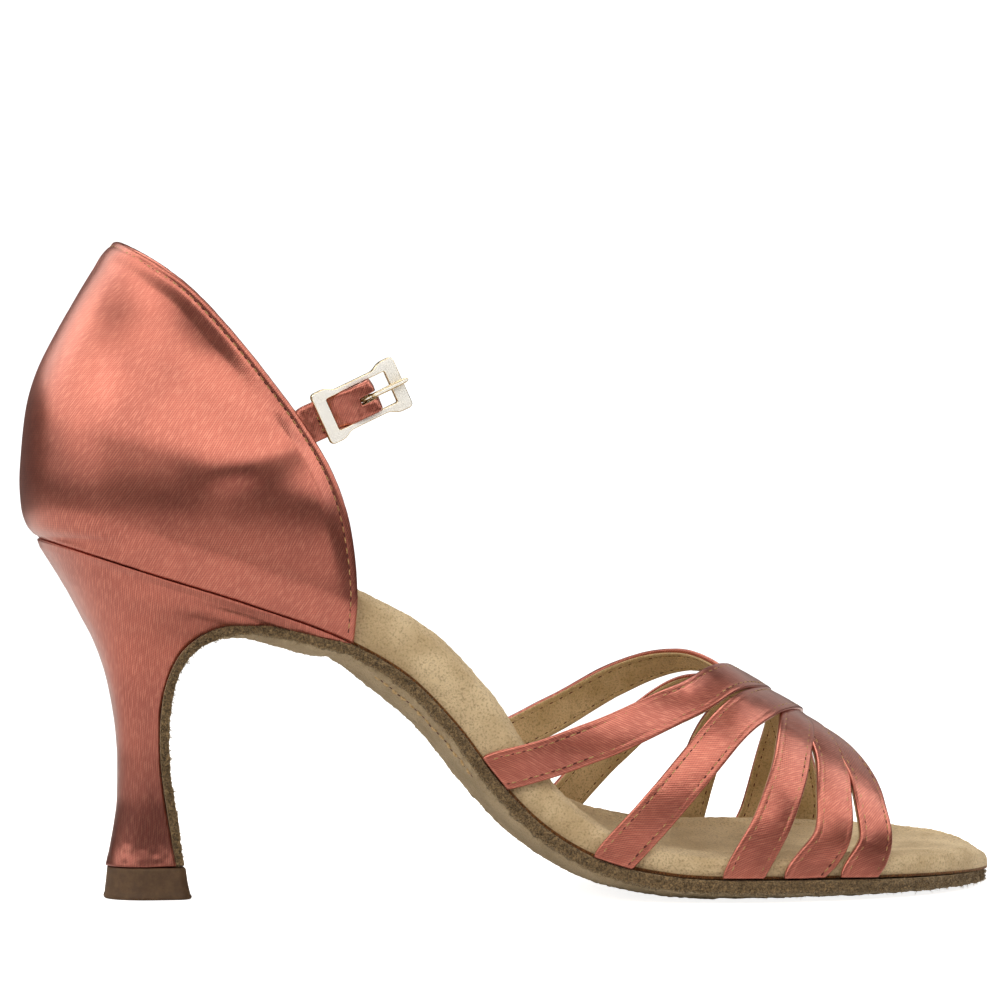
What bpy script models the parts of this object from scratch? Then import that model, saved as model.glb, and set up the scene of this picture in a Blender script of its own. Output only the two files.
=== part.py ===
"""Open-toed latin dance shoe for the right foot, on a flared three inch heel.

Axes: +X towards the toe, +Y towards the inner (medial) side, -Y towards the outer (lateral) side,
+Z up.  The origin is the centre of the heel's top piece, on the floor.  Sizes below are in
millimetres and become metres as each mesh is made.

The bottom of the last is one curve in the X-Z plane, the feather line.  Insole, heel seat, heel
counter, outsole and strap feet all take their place from it.
"""

import math

import bmesh
import bpy
import numpy as np
from mathutils import Matrix, Vector

# ---------------------------------------------------------------- driving dimensions (mm)
MM = 0.001
GAP = 0.3                      # clearance between neighbouring pieces
COLLECTION = "latin_dance_shoe"

TOE_X = 202.6                  # toe end of the feather line
HEEL_X = -26.0                 # back end of the feather line
TOE_ROUND = 42.0               # length over which the toe outline closes
HEEL_ROUND = 26.0              # length over which the heel outline closes
ROUND_POWER = 2.15             # 2 is an ellipse, more is squarer

UPPER_WALL = 1.8               # heel counter: satin, stiffener and lining together
COUNTER_INSET = UPPER_WALL + GAP
OUTSOLE_LEDGE = 1.5            # outsole beyond the insole, under the strap feet
STRAP_WALL = 1.6
STRAP_WIDTH = 9.4
STRAP_FLAT = 0.88              # share of a strap's width that is flat between its folded edges
STRAP_STEP = 6.0               # spacing of a strap's sections

TOP_PIECE_HEIGHT = 7.4
TOP_PIECE_BACK = -10.4
TOP_PIECE_FRONT = 9.6
TOP_PIECE_HALF = 9.6

# Bottom of the last and footbed, a row for each station from heel to toe.
#   x, z     the feather line, where the upper meets the sole
#   mid      middle of the outline, sideways
#   half     half the width of the insole before its ends are rounded
#   camber   how far the bottom bulges below the feather line in the middle
#   rim      height of the insole's rolled rim on the lateral side
#   arch     how much higher that rim stands on the medial side
#   dish     depth of the footbed below its rims
FEATHER_COLUMNS = ("x", "z", "mid", "half", "camber", "rim", "arch", "dish")
FEATHER_ROWS = (
    (-26.0, 84.6, 0.0, 23.8, 0.0, 7.0, 0.0, 1.5),
    (0.0, 76.2, 0.0, 23.9, 0.0, 7.0, 0.0, 1.5),
    (22.0, 69.2, -0.6, 23.2, 0.0, 8.0, 0.2, 1.5),
    (44.0, 60.9, -2.0, 21.8, 0.2, 12.0, 0.6, 1.5),
    (58.0, 52.9, -3.0, 21.3, 2.4, 11.8, 0.8, 1.5),
    (69.0, 41.9, -3.4, 21.8, 2.2, 11.2, 1.2, 1.5),
    (80.0, 27.4, -3.4, 23.6, 1.8, 10.0, 1.8, 1.5),
    (90.0, 17.4, -3.2, 26.3, 2.2, 8.6, 2.4, 1.8),
    (102.0, 10.3, -2.9, 30.0, 2.8, 7.2, 3.0, 2.4),
    (118.0, 6.6, -2.6, 35.0, 2.9, 6.2, 3.4, 3.2),
    (140.0, 5.6, -2.0, 38.0, 2.6, 5.6, 3.4, 3.4),
    (155.0, 5.4, -1.0, 37.2, 2.4, 5.6, 3.2, 3.2),
    (178.0, 4.7, 1.0, 33.0, 1.4, 5.8, 2.6, 1.8),
    (202.6, 4.1, 3.0, 29.0, 0.4, 5.6, 1.6, 0.2),
)
ARCH_IN_SOLE = 0.4             # share of the medial rise that is in the sole below the insole

# Outsole: thickness of its edge and how much thicker its middle is, along the feather line; then
# its course under the heel's wedge and down the heel breast.
OUTSOLE_THICK_ROWS = (
    (44.0, 2.8, 1.9), (58.0, 2.8, 1.4), (69.0, 2.9, 0.5), (80.0, 3.0, 0.0), (102.0, 3.2, 0.0),
    (118.0, 3.4, 0.0), (155.0, 3.4, 0.0), (178.0, 3.2, 0.0), (202.6, 2.7, 0.0),
)
BREAST_COLUMNS = ("x", "z", "mid", "half", "camber", "arch", "thick", "belly")
BREAST_ROWS = (
    (38.5, 62.3, -1.8, 22.8, 0.8, 0.4, 2.8, 1.9),
    (30.0, 64.4, -1.3, 21.6, 0.9, 0.2, 2.8, 1.4),
    (21.5, 65.4, -0.8, 19.6, 0.5, 0.0, 2.8, 1.0),
    (13.5, 63.6, -0.4, 17.0, 0.2, 0.0, 2.5, 0.4),
    (7.0, 58.6, 0.0, 13.8, 0.0, 0.0, 2.3, 0.0),
    (3.6, 51.5, 0.0, 10.8, 0.0, 0.0, 2.2, 0.0),
    (2.2, 42.5, 0.0, 8.6, 0.0, 0.0, 2.2, 0.0),
    (2.4, 31.0, 0.0, 7.2, 0.0, 0.0, 2.2, 0.0),
    (4.2, 18.0, 0.0, 7.0, 0.0, 0.0, 2.2, 0.0),
    (5.8, 8.0, 0.0, 7.6, 0.0, 0.0, 2.0, 0.0),
)

# Heel, rings from the seat down to the top piece.  Each ring runs from a point on the back of the
# heel to a point on its breast.
#   half     half width;  round  share of the ring's length that its back curve takes
HEEL_COLUMNS = ("back_x", "back_z", "front_x", "front_z", "half", "round")
HEEL_ROWS = (
    (-25.2, 82.4, 36.0, 62.6, 25.2, 0.42),
    (-22.2, 77.6, 27.0, 64.6, 23.6, 0.48),
    (-18.9, 72.2, 19.0, 64.8, 21.0, 0.54),
    (-15.6, 66.0, 11.6, 62.4, 17.4, 0.60),
    (-12.6, 60.0, 6.6, 58.0, 14.0, 0.65),
    (-10.0, 52.6, 3.6, 51.4, 11.0, 0.68),
    (-8.2, 43.6, 1.9, 42.6, 8.8, 0.70),
    (-7.2, 33.0, 2.0, 33.0, 7.6, 0.72),
    (-7.3, 24.0, 2.9, 24.0, 7.3, 0.72),
    (-8.6, 14.0, 4.5, 14.0, 7.9, 0.70),
    (-10.0, 7.7, 5.6, 7.7, 8.9, 0.68),
)

# Back seam of the counter, and its topline from the peak to the foot of the front edge.
COUNTER_BACK_ROWS = (
    (84.9, -26.0), (86.4, -27.4), (89.6, -28.6), (95.0, -29.3), (103.0, -29.3), (110.8, -28.8),
    (117.0, -27.8), (124.0, -25.6), (133.5, -20.8), (147.7, -12.6), (151.5, -10.2), (154.4, -7.2),
)
TOPLINE_ROWS = (
    (-7.2, 154.4), (-1.8, 150.7), (7.0, 144.4), (18.1, 132.8), (27.2, 121.2), (34.0, 111.8),
    (40.6, 100.3), (43.8, 91.0), (45.7, 79.6), (46.2, 71.0),
)
# Fullness of the counter at a height above the feather line: side width and roundness of its back.
COUNTER_SWELL_ROWS = ((0.0, 1.0), (10.0, 1.07), (28.0, 1.06), (48.0, 0.94), (72.0, 0.76))
COUNTER_ROUND_ROWS = ((0.0, 26.0), (20.0, 28.0), (45.0, 27.0), (72.0, 24.0))

# Top of the forefoot under the straps: height of the ridge above the feather line, and how far it
# lies towards the medial side.
RIDGE_ROWS = (
    (70.0, 56.0), (100.0, 54.0), (120.0, 51.0), (131.0, 47.6), (142.0, 41.2), (155.0, 34.0),
    (165.0, 29.2), (175.0, 23.5), (190.0, 16.0),
)
RIDGE_Y = 3.0
LAST_POWER = 2.25

# Vamp straps, a row for each half strap from its foot on the sole to its end in the knot.
#   lift     how far it rides above the last at the knot
#   course   points on the last: distance along the shoe, and angle round it in degrees, where 0
#            is the lateral feather line, 90 the ridge and 180 the medial feather line
STRAP_ROWS = (
    ("lateral_1", 2.6, ((78, 0), (96, 21), (117, 42), (129, 56), (142.5, 84), (149, 106))),
    ("lateral_2", 2.2, ((105, 0), (115, 13), (127, 32), (138, 54), (148.5, 77), (156, 100))),
    ("lateral_3", 1.2, ((134.5, 0), (141, 14), (146, 32), (149, 49), (152, 70), (152, 94))),
    ("lateral_4", 0.95, ((149, 0), (155.8, 13), (157.5, 33), (158.3, 52), (156, 74), (152, 92))),
    ("lateral_5", 0.4, ((162.5, 0), (166.8, 13), (166.7, 30), (165.5, 50), (160.5, 72), (153, 92))),
    ("medial_1", 1.2, ((78, 180), (94, 160), (113.5, 136), (127, 116), (138.5, 94), (146, 78))),
    ("medial_2", 0.7, ((99, 180), (113, 162), (125, 144), (135.5, 124), (147, 99), (153, 84))),
    ("medial_3", 1.0, ((135.5, 180), (138, 168), (141.5, 146), (146, 122), (150, 98), (150, 84))),
    ("medial_4", 0.5, ((152, 180), (155.5, 168), (157.5, 146), (157.5, 120), (154, 98), (150, 86))),
    ("medial_5", 0.0, ((163.5, 180), (165.5, 167), (164.5, 152), (160, 126), (155, 104), (151, 88))),
)

# Solid middle of the knot: place on the last and lift, and its half sizes.
KNOT_PLACE = (150.0, 88.0, 1.9)
KNOT_SIZE = (6.6, 7.4, 1.5)

# Buckle: flat frame of two end bars and two waisted rails, a round middle bar and a prong.
BUCKLE_CENTRE = (47.8, -21.6, 116.8)
BUCKLE_RISE = 25.0             # tilt of its long axis above the floor
BUCKLE_TURN = 8.0              # turn of its long axis towards the ankle
BUCKLE_LENGTH = 21.8
BUCKLE_HEIGHT = 12.8
BUCKLE_PLATE = 1.5
END_BAR = 3.2
RAIL = 1.3
RAIL_WAIST = 1.2
MIDDLE_BAR_X = 1.4
MIDDLE_BAR_R = 0.7
PRONG_R = 0.6
PRONG_REACH = 11.9             # from the buckle's middle to the prong's tip
EYE_TUBE = 0.45
SLOT_HALF = 1.1                # half the width of the slot for the prong's eye
SLOT_LENGTH = 6.9
SLOT_AHEAD = -0.2              # middle of the slot ahead of the middle bar
TAB_WALL = 1.6
TAB_WIDTH = 9.0
TAB_NECK = 7.1                 # width where it is gathered between the buckle's rails
TAB_ROOT_X = 25.0              # end of the tab, sewn inside the lateral quarter


# ---------------------------------------------------------------- curves through the tables
def read_rows(knots, values, where, monotone=True):
    """Read a column between its rows by a smooth cubic; a monotone one never overshoots."""
    knots = np.asarray(knots, float)
    values = np.asarray(values, float)
    where = np.atleast_1d(np.asarray(where, float))
    step = np.diff(knots)
    rise = np.diff(values) / step
    slope = np.empty_like(values)
    slope[0], slope[-1] = rise[0], rise[-1]
    if monotone:
        same = rise[:-1] * rise[1:] > 0
        near = np.where(same, rise[:-1], 1.0)
        far = np.where(same, rise[1:], 1.0)
        weight_a = 2 * step[1:] + step[:-1]
        weight_b = step[1:] + 2 * step[:-1]
        mean = (weight_a + weight_b) / (weight_a / near + weight_b / far)
        slope[1:-1] = np.where(same, mean, 0.0)
    else:
        slope[1:-1] = (rise[:-1] * step[1:] + rise[1:] * step[:-1]) / (step[:-1] + step[1:])
    row = np.clip(np.searchsorted(knots, where) - 1, 0, len(step) - 1)
    width = step[row]
    t = np.clip((where - knots[row]) / width, 0.0, 1.0)
    return ((2 * t**3 - 3 * t**2 + 1) * values[row] + (t**3 - 2 * t**2 + t) * width * slope[row]
            + (3 * t**2 - 2 * t**3) * values[row + 1] + (t**3 - t**2) * width * slope[row + 1])


class Course:
    """A table whose rows lie along a curve in the X-Z plane, read by distance along the curve."""

    def __init__(self, columns, rows):
        self.data = {name: np.array([row[i] for row in rows], float)
                     for i, name in enumerate(columns)}
        chord = np.hypot(np.diff(self.data["x"]), np.diff(self.data["z"]))
        self.knots = np.concatenate(([0.0], np.cumsum(chord)))
        self.length = self.knots[-1]

    def at(self, name, s):
        """One column at the distances s; the curve itself is rounder than the other columns."""
        return read_rows(self.knots, self.data[name], s, monotone=name not in ("x", "z"))

    def up(self, s):
        """Unit normals of the curve, on its foot side."""
        ahead = min(0.5, self.length / 400)
        s = np.clip(s, ahead, self.length - ahead)
        dx = self.at("x", s + ahead) - self.at("x", s - ahead)
        dz = self.at("z", s + ahead) - self.at("z", s - ahead)
        size = np.hypot(dx, dz)
        sign = 1.0 if self.data["x"][-1] > self.data["x"][0] else -1.0
        return -sign * dz / size, sign * dx / size


FEATHER = Course(FEATHER_COLUMNS, FEATHER_ROWS)


def feather(name, x):
    """A column of the feather table at a distance x along the shoe."""
    return read_rows(FEATHER.data["x"], FEATHER.data[name], x, monotone=name != "z")


def rounded_end(distance, length, power=ROUND_POWER):
    """Share of the full width at a distance from a rounded end of the given length."""
    t = np.clip(distance / length, 0.0, 1.0)
    return (1.0 - (1.0 - t) ** power) ** (1.0 / power)


def insole_half(x):
    """Half width of the insole, closed at both ends."""
    ends = rounded_end(x - HEEL_X - COUNTER_INSET, HEEL_ROUND - COUNTER_INSET)
    return feather("half", x) * ends * rounded_end(TOE_X + 1.0 - x, TOE_ROUND)


def seat_half(x):
    """Half width of the heel seat and of the counter's foot."""
    return (feather("half", x) + COUNTER_INSET) * rounded_end(x - HEEL_X, HEEL_ROUND)


def bottom_rise(across, camber, arch):
    """Height of the last's bottom above the lateral feather line; across runs from -1 to 1."""
    return ARCH_IN_SOLE * arch * (0.5 + 0.5 * across) ** 2 - camber * (1.0 - across**4)


def smooth_step(low, high, value):
    """A smooth rise from 0 at low to 1 at high."""
    t = min(1.0, max(0.0, (value - low) / (high - low)))
    return t * t * (3.0 - 2.0 * t)


# ---------------------------------------------------------------- meshes
def paint(name, colour, roughness, metallic=0.0):
    """A plain material with a Principled BSDF."""
    material = bpy.data.materials.new(name)
    material.use_nodes = True
    shader = material.node_tree.nodes["Principled BSDF"]
    shader.inputs["Base Color"].default_value = (*colour, 1.0)
    shader.inputs["Roughness"].default_value = roughness
    shader.inputs["Metallic"].default_value = metallic
    return material


def add_object(name, mesh, material, collection):
    """Link a mesh as a named object and smooth its round faces."""
    piece = bpy.data.objects.new(name, mesh)
    collection.objects.link(piece)
    if material is not None:
        mesh.materials.append(material)
    mesh.shade_smooth()
    mesh.set_sharp_from_angle(angle=math.radians(35))
    return piece


def loft_mesh(name, rings, caps="flat"):
    """Skin a list of rings, each a row of points in mm.

    Caps are "flat" faces on the end rings, "ladder" for rings that start at a single point and
    then mirror each other left and right, or "none" for an open sheet of open rings.
    """
    bm = bmesh.new()
    rows = [[bm.verts.new(Vector(p) * MM) for p in ring] for ring in rings]
    count = len(rows[0])
    spans = count - 1 if caps == "none" else count
    for low, high in zip(rows[:-1], rows[1:]):
        for i in range(spans):
            j = (i + 1) % count
            bm.faces.new((low[i], low[j], high[j], high[i]))
    if caps == "flat":
        bm.faces.new(rows[0])
        bm.faces.new(rows[-1])
    if caps == "ladder":
        for ring in (rows[0], rows[-1]):
            bm.faces.new((ring[0], ring[1], ring[-1]))
            for i in range(1, count // 2):
                bm.faces.new((ring[i], ring[i + 1], ring[-i - 1], ring[-i]))
    if caps != "none":
        bmesh.ops.recalc_face_normals(bm, faces=bm.faces[:])
    mesh = bpy.data.meshes.new(name)
    bm.to_mesh(mesh)
    bm.free()
    return mesh


# ---------------------------------------------------------------- sole, insole and heel
def section_stops(length, count, head, tail):
    """Distances along a course, closer together near ends that are rounded."""
    t = np.linspace(0.0, 1.0, count)
    if head:
        t = np.where(t < 0.5, 0.5 * (2 * t) ** 1.5, t)
    if tail:
        t = np.where(t > 0.5, 1 - 0.5 * (2 * (1 - t)) ** 1.5, t)
    return t * length


def outsole_course():
    """The outsole's course from the toe along the feather line and down the heel's breast."""
    thick = np.array(OUTSOLE_THICK_ROWS)
    start = float(FEATHER.knots[list(FEATHER.data["x"]).index(OUTSOLE_THICK_ROWS[0][0])])
    rows = []
    for s in np.linspace(FEATHER.length, start, 40):
        row = {name: float(FEATHER.at(name, s)[0]) for name in BREAST_COLUMNS[:6]}
        row["half"] += OUTSOLE_LEDGE
        depth = float(read_rows(thick[:, 0], thick[:, 1], row["x"])[0])
        belly = float(read_rows(thick[:, 0], thick[:, 2], row["x"])[0])
        rows.append((*row.values(), depth, belly))
    return Course(BREAST_COLUMNS, (*rows, *BREAST_ROWS))


def outsole(collection, material):
    """Sole under forefoot and waist that carries on down the front of the heel."""
    course = outsole_course()
    stops = section_stops(course.length, 60, head=True, tail=False)
    up_x, up_z = course.up(stops)
    rings = []
    for s, nx, nz in zip(stops, up_x, up_z):
        x, z, mid, half, camber, arch, depth, belly = (
            float(course.at(name, s)[0]) for name in BREAST_COLUMNS)
        half *= float(rounded_end(s + 0.2, TOE_ROUND))
        drop = 2.5 * GAP * (1.0 - smooth_step(38.0, 50.0, x))
        ring = []
        for a in (-1.0, -0.82, -0.5, 0.0, 0.5, 0.82, 1.0):
            rise = bottom_rise(a, camber, arch) - drop
            ring.append((x + nx * rise, mid + half * a, z + nz * rise))
        for a in (0.985, 0.9, 0.72, 0.45, 0.0, -0.45, -0.72, -0.9, -0.985):
            rise = bottom_rise(a, camber, arch) - drop - depth - belly * (1.0 - a * a)
            rise += 0.5 if abs(a) > 0.95 else 0.0
            ring.append((x + nx * rise, mid + half * a, max(0.0, z + nz * rise)))
        rings.append(ring)
    return add_object("outsole", loft_mesh("outsole", rings), material, collection)


# Section of the insole from the lateral edge over the footbed: share of the half width, share of
# the rim's height, share of the dish.
INSOLE_SECTION = ((-0.975, 0.0, 0.0), (-1.0, 0.32, 0.0), (-0.99, 0.66, 0.0), (-0.945, 0.9, 0.0),
                  (-0.87, 1.0, 0.0), (-0.72, 1.0, 0.45), (-0.4, 1.0, 0.9))


def insole(collection, material):
    """Padded footbed with a rolled rim, from inside the counter to the toe."""
    start = COUNTER_INSET
    stops = start + section_stops(FEATHER.length + 0.8 - start, 54, head=True, tail=True)
    half_section = np.array(INSOLE_SECTION)
    section = np.vstack((half_section, (0.0, 1.0, 1.0), half_section[::-1] * (-1.0, 1.0, 1.0)))
    under = np.array([(side, 0.0, 0.0) for side in (0.82, 0.5, 0.0, -0.5, -0.82)])
    section = np.vstack((section, under))
    up_x, up_z = FEATHER.up(stops)
    rings = []
    for s, nx, nz in zip(stops, up_x, up_z):
        past_end = max(0.0, s - FEATHER.length)
        x, z, mid, camber, rim, arch, dish = (
            float(FEATHER.at(name, min(s, FEATHER.length))[0])
            for name in ("x", "z", "mid", "camber", "rim", "arch", "dish"))
        x += past_end
        half = max(2.0, float(insole_half(x)[0]))
        squeeze = min(1.0, half / 20.0)
        clear = GAP * (1.0 + smooth_step(198.0, 202.0, x))
        rim *= 0.45 + 0.55 * float(rounded_end(TOE_X + 1.0 - x, 6.0, 2.0))
        ring = []
        for side, height, sunk in section:
            pad = (1.0 - ARCH_IN_SOLE) * arch * (0.5 + 0.5 * side) ** 1.5 * height
            base = bottom_rise(side, camber * squeeze * (1.0 - height), arch)
            lift = clear + base + rim * height + pad - dish * sunk * squeeze
            ring.append((x + nx * lift, mid + half * side, z + nz * lift))
        rings.append(ring)
    return add_object("insole", loft_mesh("insole", rings), material, collection)


def heel(collection, material):
    """Satin covered heel: a wedge under the seat that narrows to a slim flared stem."""
    side_steps = np.array((0.0, 0.03, 0.1, 0.2, 0.33, 0.48, 0.64, 0.8, 0.93, 1.0))
    rings = []
    seat_x = HEEL_X + (41.0 - HEEL_X) * side_steps
    seat = [(x, float(seat_half(x)[0]), float(feather("z", x)[0])) for x in seat_x]
    mids = feather("mid", seat_x)
    ring = [(seat[0][0], 0.0, seat[0][2])]
    ring += [(x, m - w, z) for (x, w, z), m in zip(seat[1:], mids[1:])]
    ring += [(x, m + w, z) for (x, w, z), m in zip(seat[:0:-1], mids[:0:-1])]
    rings.append(np.array(ring))
    depth = np.arange(len(HEEL_ROWS))
    columns = {name: np.array([row[i] for row in HEEL_ROWS])
               for i, name in enumerate(HEEL_COLUMNS)}
    for level in np.linspace(0, len(HEEL_ROWS) - 1, 26):
        back_x, back_z, front_x, front_z, half, turn = (
            float(read_rows(depth, columns[name], level)[0]) for name in HEEL_COLUMNS)
        width = half * rounded_end(side_steps, turn, 2.1)
        width *= 1.0 - 0.1 * side_steps**2
        width[-1] *= 0.93
        x = back_x + (front_x - back_x) * side_steps
        z = back_z + (front_z - back_z) * side_steps
        lean = feather("mid", x) * max(0.0, 1.0 - level / 4.0)
        ring = [(x[0], 0.0, z[0])]
        ring += [(x[i], lean[i] - width[i], z[i]) for i in range(1, len(x))]
        ring += [(x[i], lean[i] + width[i], z[i]) for i in range(len(x) - 1, 0, -1)]
        rings.append(np.array(ring))
    return add_object("heel", loft_mesh("heel", rings, caps="ladder"), material, collection)


def top_piece(collection, material):
    """Flared rubber top piece on the floor."""
    rings = []
    turns = np.linspace(0.0, 1.0, 11)
    for height, grow in ((0.0, 0.0), (1.2, 0.35), (4.0, 0.95), (TOP_PIECE_HEIGHT, 1.5)):
        back = TOP_PIECE_BACK + grow * 0.6
        front = TOP_PIECE_FRONT - grow * 0.9
        half = TOP_PIECE_HALF - grow * 0.6
        width = half * rounded_end(turns, 0.6, 2.2) * rounded_end(1.06 - turns, 0.22, 2.5)
        x = back + (front - back) * turns
        ring = [(x[0], 0.0, height)]
        ring += [(x[i], -width[i], height) for i in range(1, len(x))]
        ring += [(x[i], width[i], height) for i in range(len(x) - 1, 0, -1)]
        rings.append(np.array(ring))
    mesh = loft_mesh("heel_top_piece", rings, caps="ladder")
    return add_object("heel_top_piece", mesh, material, collection)


# ---------------------------------------------------------------- heel counter
def counter_point(ahead, z):
    """Outer face of the counter: half width and X at a distance ahead of its back seam."""
    back = np.array(COUNTER_BACK_ROWS)
    x = float(read_rows(back[:, 0], back[:, 1], z, monotone=False)[0]) + ahead
    height = max(0.0, z - float(feather("z", x)[0]))
    swell = np.array(COUNTER_SWELL_ROWS)
    turn = np.array(COUNTER_ROUND_ROWS)
    full = float(read_rows(swell[:, 0], swell[:, 1], height)[0])
    length = float(read_rows(turn[:, 0], turn[:, 1], height)[0])
    half = (float(feather("half", x)[0]) + COUNTER_INSET) * full
    return x, half * float(rounded_end(ahead, length))


def counter_sheet(columns=23, rows=10):
    """Outer face of the counter as rings from the lateral front edge round to the medial one."""
    back = np.array(COUNTER_BACK_ROWS)
    top = np.array(TOPLINE_ROWS)
    top_knots = np.concatenate(([0.0], np.cumsum(np.hypot(*np.diff(top, axis=0).T))))
    foot_x = HEEL_X + (45.4 - HEEL_X) * np.linspace(0.0, 1.0, columns) ** 1.35
    side = []
    for step, x_foot in zip(np.linspace(0.0, 1.0, columns) ** 1.1, foot_x):
        z_foot = float(feather("z", x_foot)[0]) + GAP
        x_top = float(read_rows(top_knots, top[:, 0], step * top_knots[-1], False)[0])
        z_top = float(read_rows(top_knots, top[:, 1], step * top_knots[-1], False)[0])
        ahead_foot = x_foot - HEEL_X
        ahead_top = x_top - float(read_rows(back[:, 0], back[:, 1], z_top, False)[0])
        line = []
        for t in np.linspace(0.0, 1.0, rows):
            z = z_foot + (z_top - z_foot) * t
            ahead = ahead_foot + (max(0.0, ahead_top) - ahead_foot) * t
            x, half = counter_point(ahead, z)
            line.append((x, half, z, float(feather("mid", x)[0])))
        side.append(line)
    lateral = [[(x, mid - half, z) for x, half, z, mid in line] for line in side[:0:-1]]
    seam = [[(x, 0.0, z) for x, half, z, mid in side[0]]]
    medial = [[(x, mid + half, z) for x, half, z, mid in line] for line in side[1:]]
    return lateral + seam + medial


def heel_counter(collection, material):
    """Closed back of the upper: a shell that is open above and in front."""
    mesh = loft_mesh("heel_counter", counter_sheet(), caps="none")
    piece = add_object("heel_counter", mesh, material, collection)
    shell = piece.modifiers.new("wall", "SOLIDIFY")
    shell.thickness = UPPER_WALL * MM
    shell.offset = -1.0
    shell.use_even_offset = True
    return piece


# ---------------------------------------------------------------- vamp straps
def last_point(x, degrees, lift=0.0):
    """A point on the forefoot of the last, its wall at 0 and 180 degrees standing on the sole."""
    turn = math.radians(degrees)
    cos, sin = math.cos(turn), max(0.0, math.sin(turn))
    slope = float(feather("z", x + 0.5)[0] - feather("z", x - 0.5)[0])
    foot = 2.0 * GAP + bottom_rise(-cos, 0.0, float(feather("arch", x)[0]))
    foot /= math.hypot(1.0, slope)
    mid = float(feather("mid", x)[0])
    ridge = np.array(RIDGE_ROWS)
    height = float(read_rows(ridge[:, 0], ridge[:, 1], x)[0])
    reach = float(insole_half(x)[0]) + GAP + math.copysign(RIDGE_Y - mid, cos)
    y = RIDGE_Y - math.copysign(reach * abs(cos) ** (2.0 / LAST_POWER), cos)
    z = float(feather("z", x)[0]) + foot + height * sin ** (2.0 / LAST_POWER)
    point = Vector((x - foot * slope, y, z))
    return point + last_normal(x, degrees) * lift if lift else point


def last_normal(x, degrees):
    """Outward normal of the last."""
    low = max(0.5, degrees - 1.5)
    high = min(179.5, degrees + 1.5)
    round_way = last_point(x, high) - last_point(x, low)
    long_way = last_point(x + 1.0, (low + high) / 2) - last_point(x - 1.0, (low + high) / 2)
    return long_way.cross(round_way).normalized()


def along_last(course):
    """Even steps along a course on the last: x, degrees, distance and direction at each."""
    stations = np.arange(len(course), dtype=float)
    fine = np.linspace(0.0, stations[-1], 60)
    xs = read_rows(stations, [p[0] for p in course], fine, monotone=False)
    turns = read_rows(stations, [p[1] for p in course], fine, monotone=False)
    points = np.array([last_point(x, turn) for x, turn in zip(xs, turns)])
    distance = np.concatenate(([0.0], np.cumsum(np.linalg.norm(np.diff(points, axis=0), axis=1))))
    count = round(distance[-1] / STRAP_STEP) + 1
    stops = np.linspace(0.0, distance[-1], count)
    x_stops = np.interp(stops, distance, xs)
    turn_stops = np.interp(stops, distance, turns)
    track = [last_point(x, turn) for x, turn in zip(x_stops, turn_stops)]
    directions = []
    for i in range(count):
        step = track[min(count - 1, i + 1)] - track[max(0, i - 1)]
        directions.append(step.normalized())
    return zip(x_stops, turn_stops, stops / distance[-1], stops, directions)


def band_ring(inner, half, normal, wall):
    """Six corners of a flat band with folded edges, its inner face centred on a point."""
    middle = inner + normal * (wall * 0.5)
    outer = inner + normal * wall
    flat = half * STRAP_FLAT
    ring = (middle - half, outer - flat, outer + flat, middle + half, inner + flat, inner - flat)
    return [tuple(p) for p in ring]


def strap_rings(lift, course):
    """Rings of one half strap, laid over the last and cut along the feather line at its foot."""
    rings = []
    for x, turn, share, distance, along in along_last(course):
        normal = last_normal(x, turn)
        across = normal.cross(along).normalized()
        across = -across if across.x < 0 else across
        rail = (last_point(x + 1.0, turn) - last_point(x - 1.0, turn)).normalized()
        foot_width = STRAP_WIDTH / max(0.5, abs(rail.dot(across)))
        square = smooth_step(0.0, 11.0, distance)
        spread = rail * foot_width * (1.0 - square) + across * STRAP_WIDTH * square
        rise = lift * smooth_step(0.3, 0.75, share) * (1.0 - 0.6 * smooth_step(0.88, 1.0, share))
        rings.append(band_ring(last_point(x, turn) + normal * rise, spread * 0.5, normal, STRAP_WALL))
    return rings


def knot_core(collection):
    """Solid middle of the knot, where the ends of the straps are sewn one on another."""
    x, turn, lift = KNOT_PLACE
    bpy.ops.mesh.primitive_uv_sphere_add(segments=16, ring_count=8, radius=MM)
    core = bpy.context.object
    core.name = "knot_core"
    normal = last_normal(x, turn)
    core.rotation_euler = normal.to_track_quat("Z", "Y").to_euler()
    core.location = last_point(x, turn, lift) * MM
    core.scale = KNOT_SIZE
    move_to(core, collection)
    return core


def vamp_straps(collection, cutters, material):
    """Ten half straps that cross and join in a knot on top of the forefoot, as one body."""
    halves = new_collection("half_straps", cutters)
    pieces = []
    for name, lift, course in STRAP_ROWS:
        mesh = loft_mesh(name, strap_rings(lift, course))
        pieces.append(add_object(name, mesh, material, halves))
    pieces.append(knot_core(halves))
    body = pieces[0]
    body.name = "vamp_straps"
    move_to(body, collection)
    for piece in pieces[1:]:
        hide_tool(piece)
    join = body.modifiers.new("knot", "BOOLEAN")
    join.operation = "UNION"
    join.solver = "EXACT"
    join.operand_type = "COLLECTION"
    join.collection = halves
    return body


# ---------------------------------------------------------------- tab and buckle
def hide_tool(piece):
    """Show a cutter or joined piece as a wire that is never rendered."""
    piece.hide_render = True
    piece.display_type = "WIRE"


def move_to(piece, collection):
    """Keep an object in one collection only."""
    for holder in list(piece.users_collection):
        holder.objects.unlink(piece)
    collection.objects.link(piece)


def unite(body, piece, operation="UNION"):
    """Join a piece to a body, or cut it away, with a Boolean modifier."""
    hide_tool(piece)
    join = body.modifiers.new(piece.name, "BOOLEAN")
    join.operation = operation
    join.solver = "EXACT"
    join.object = piece


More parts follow.
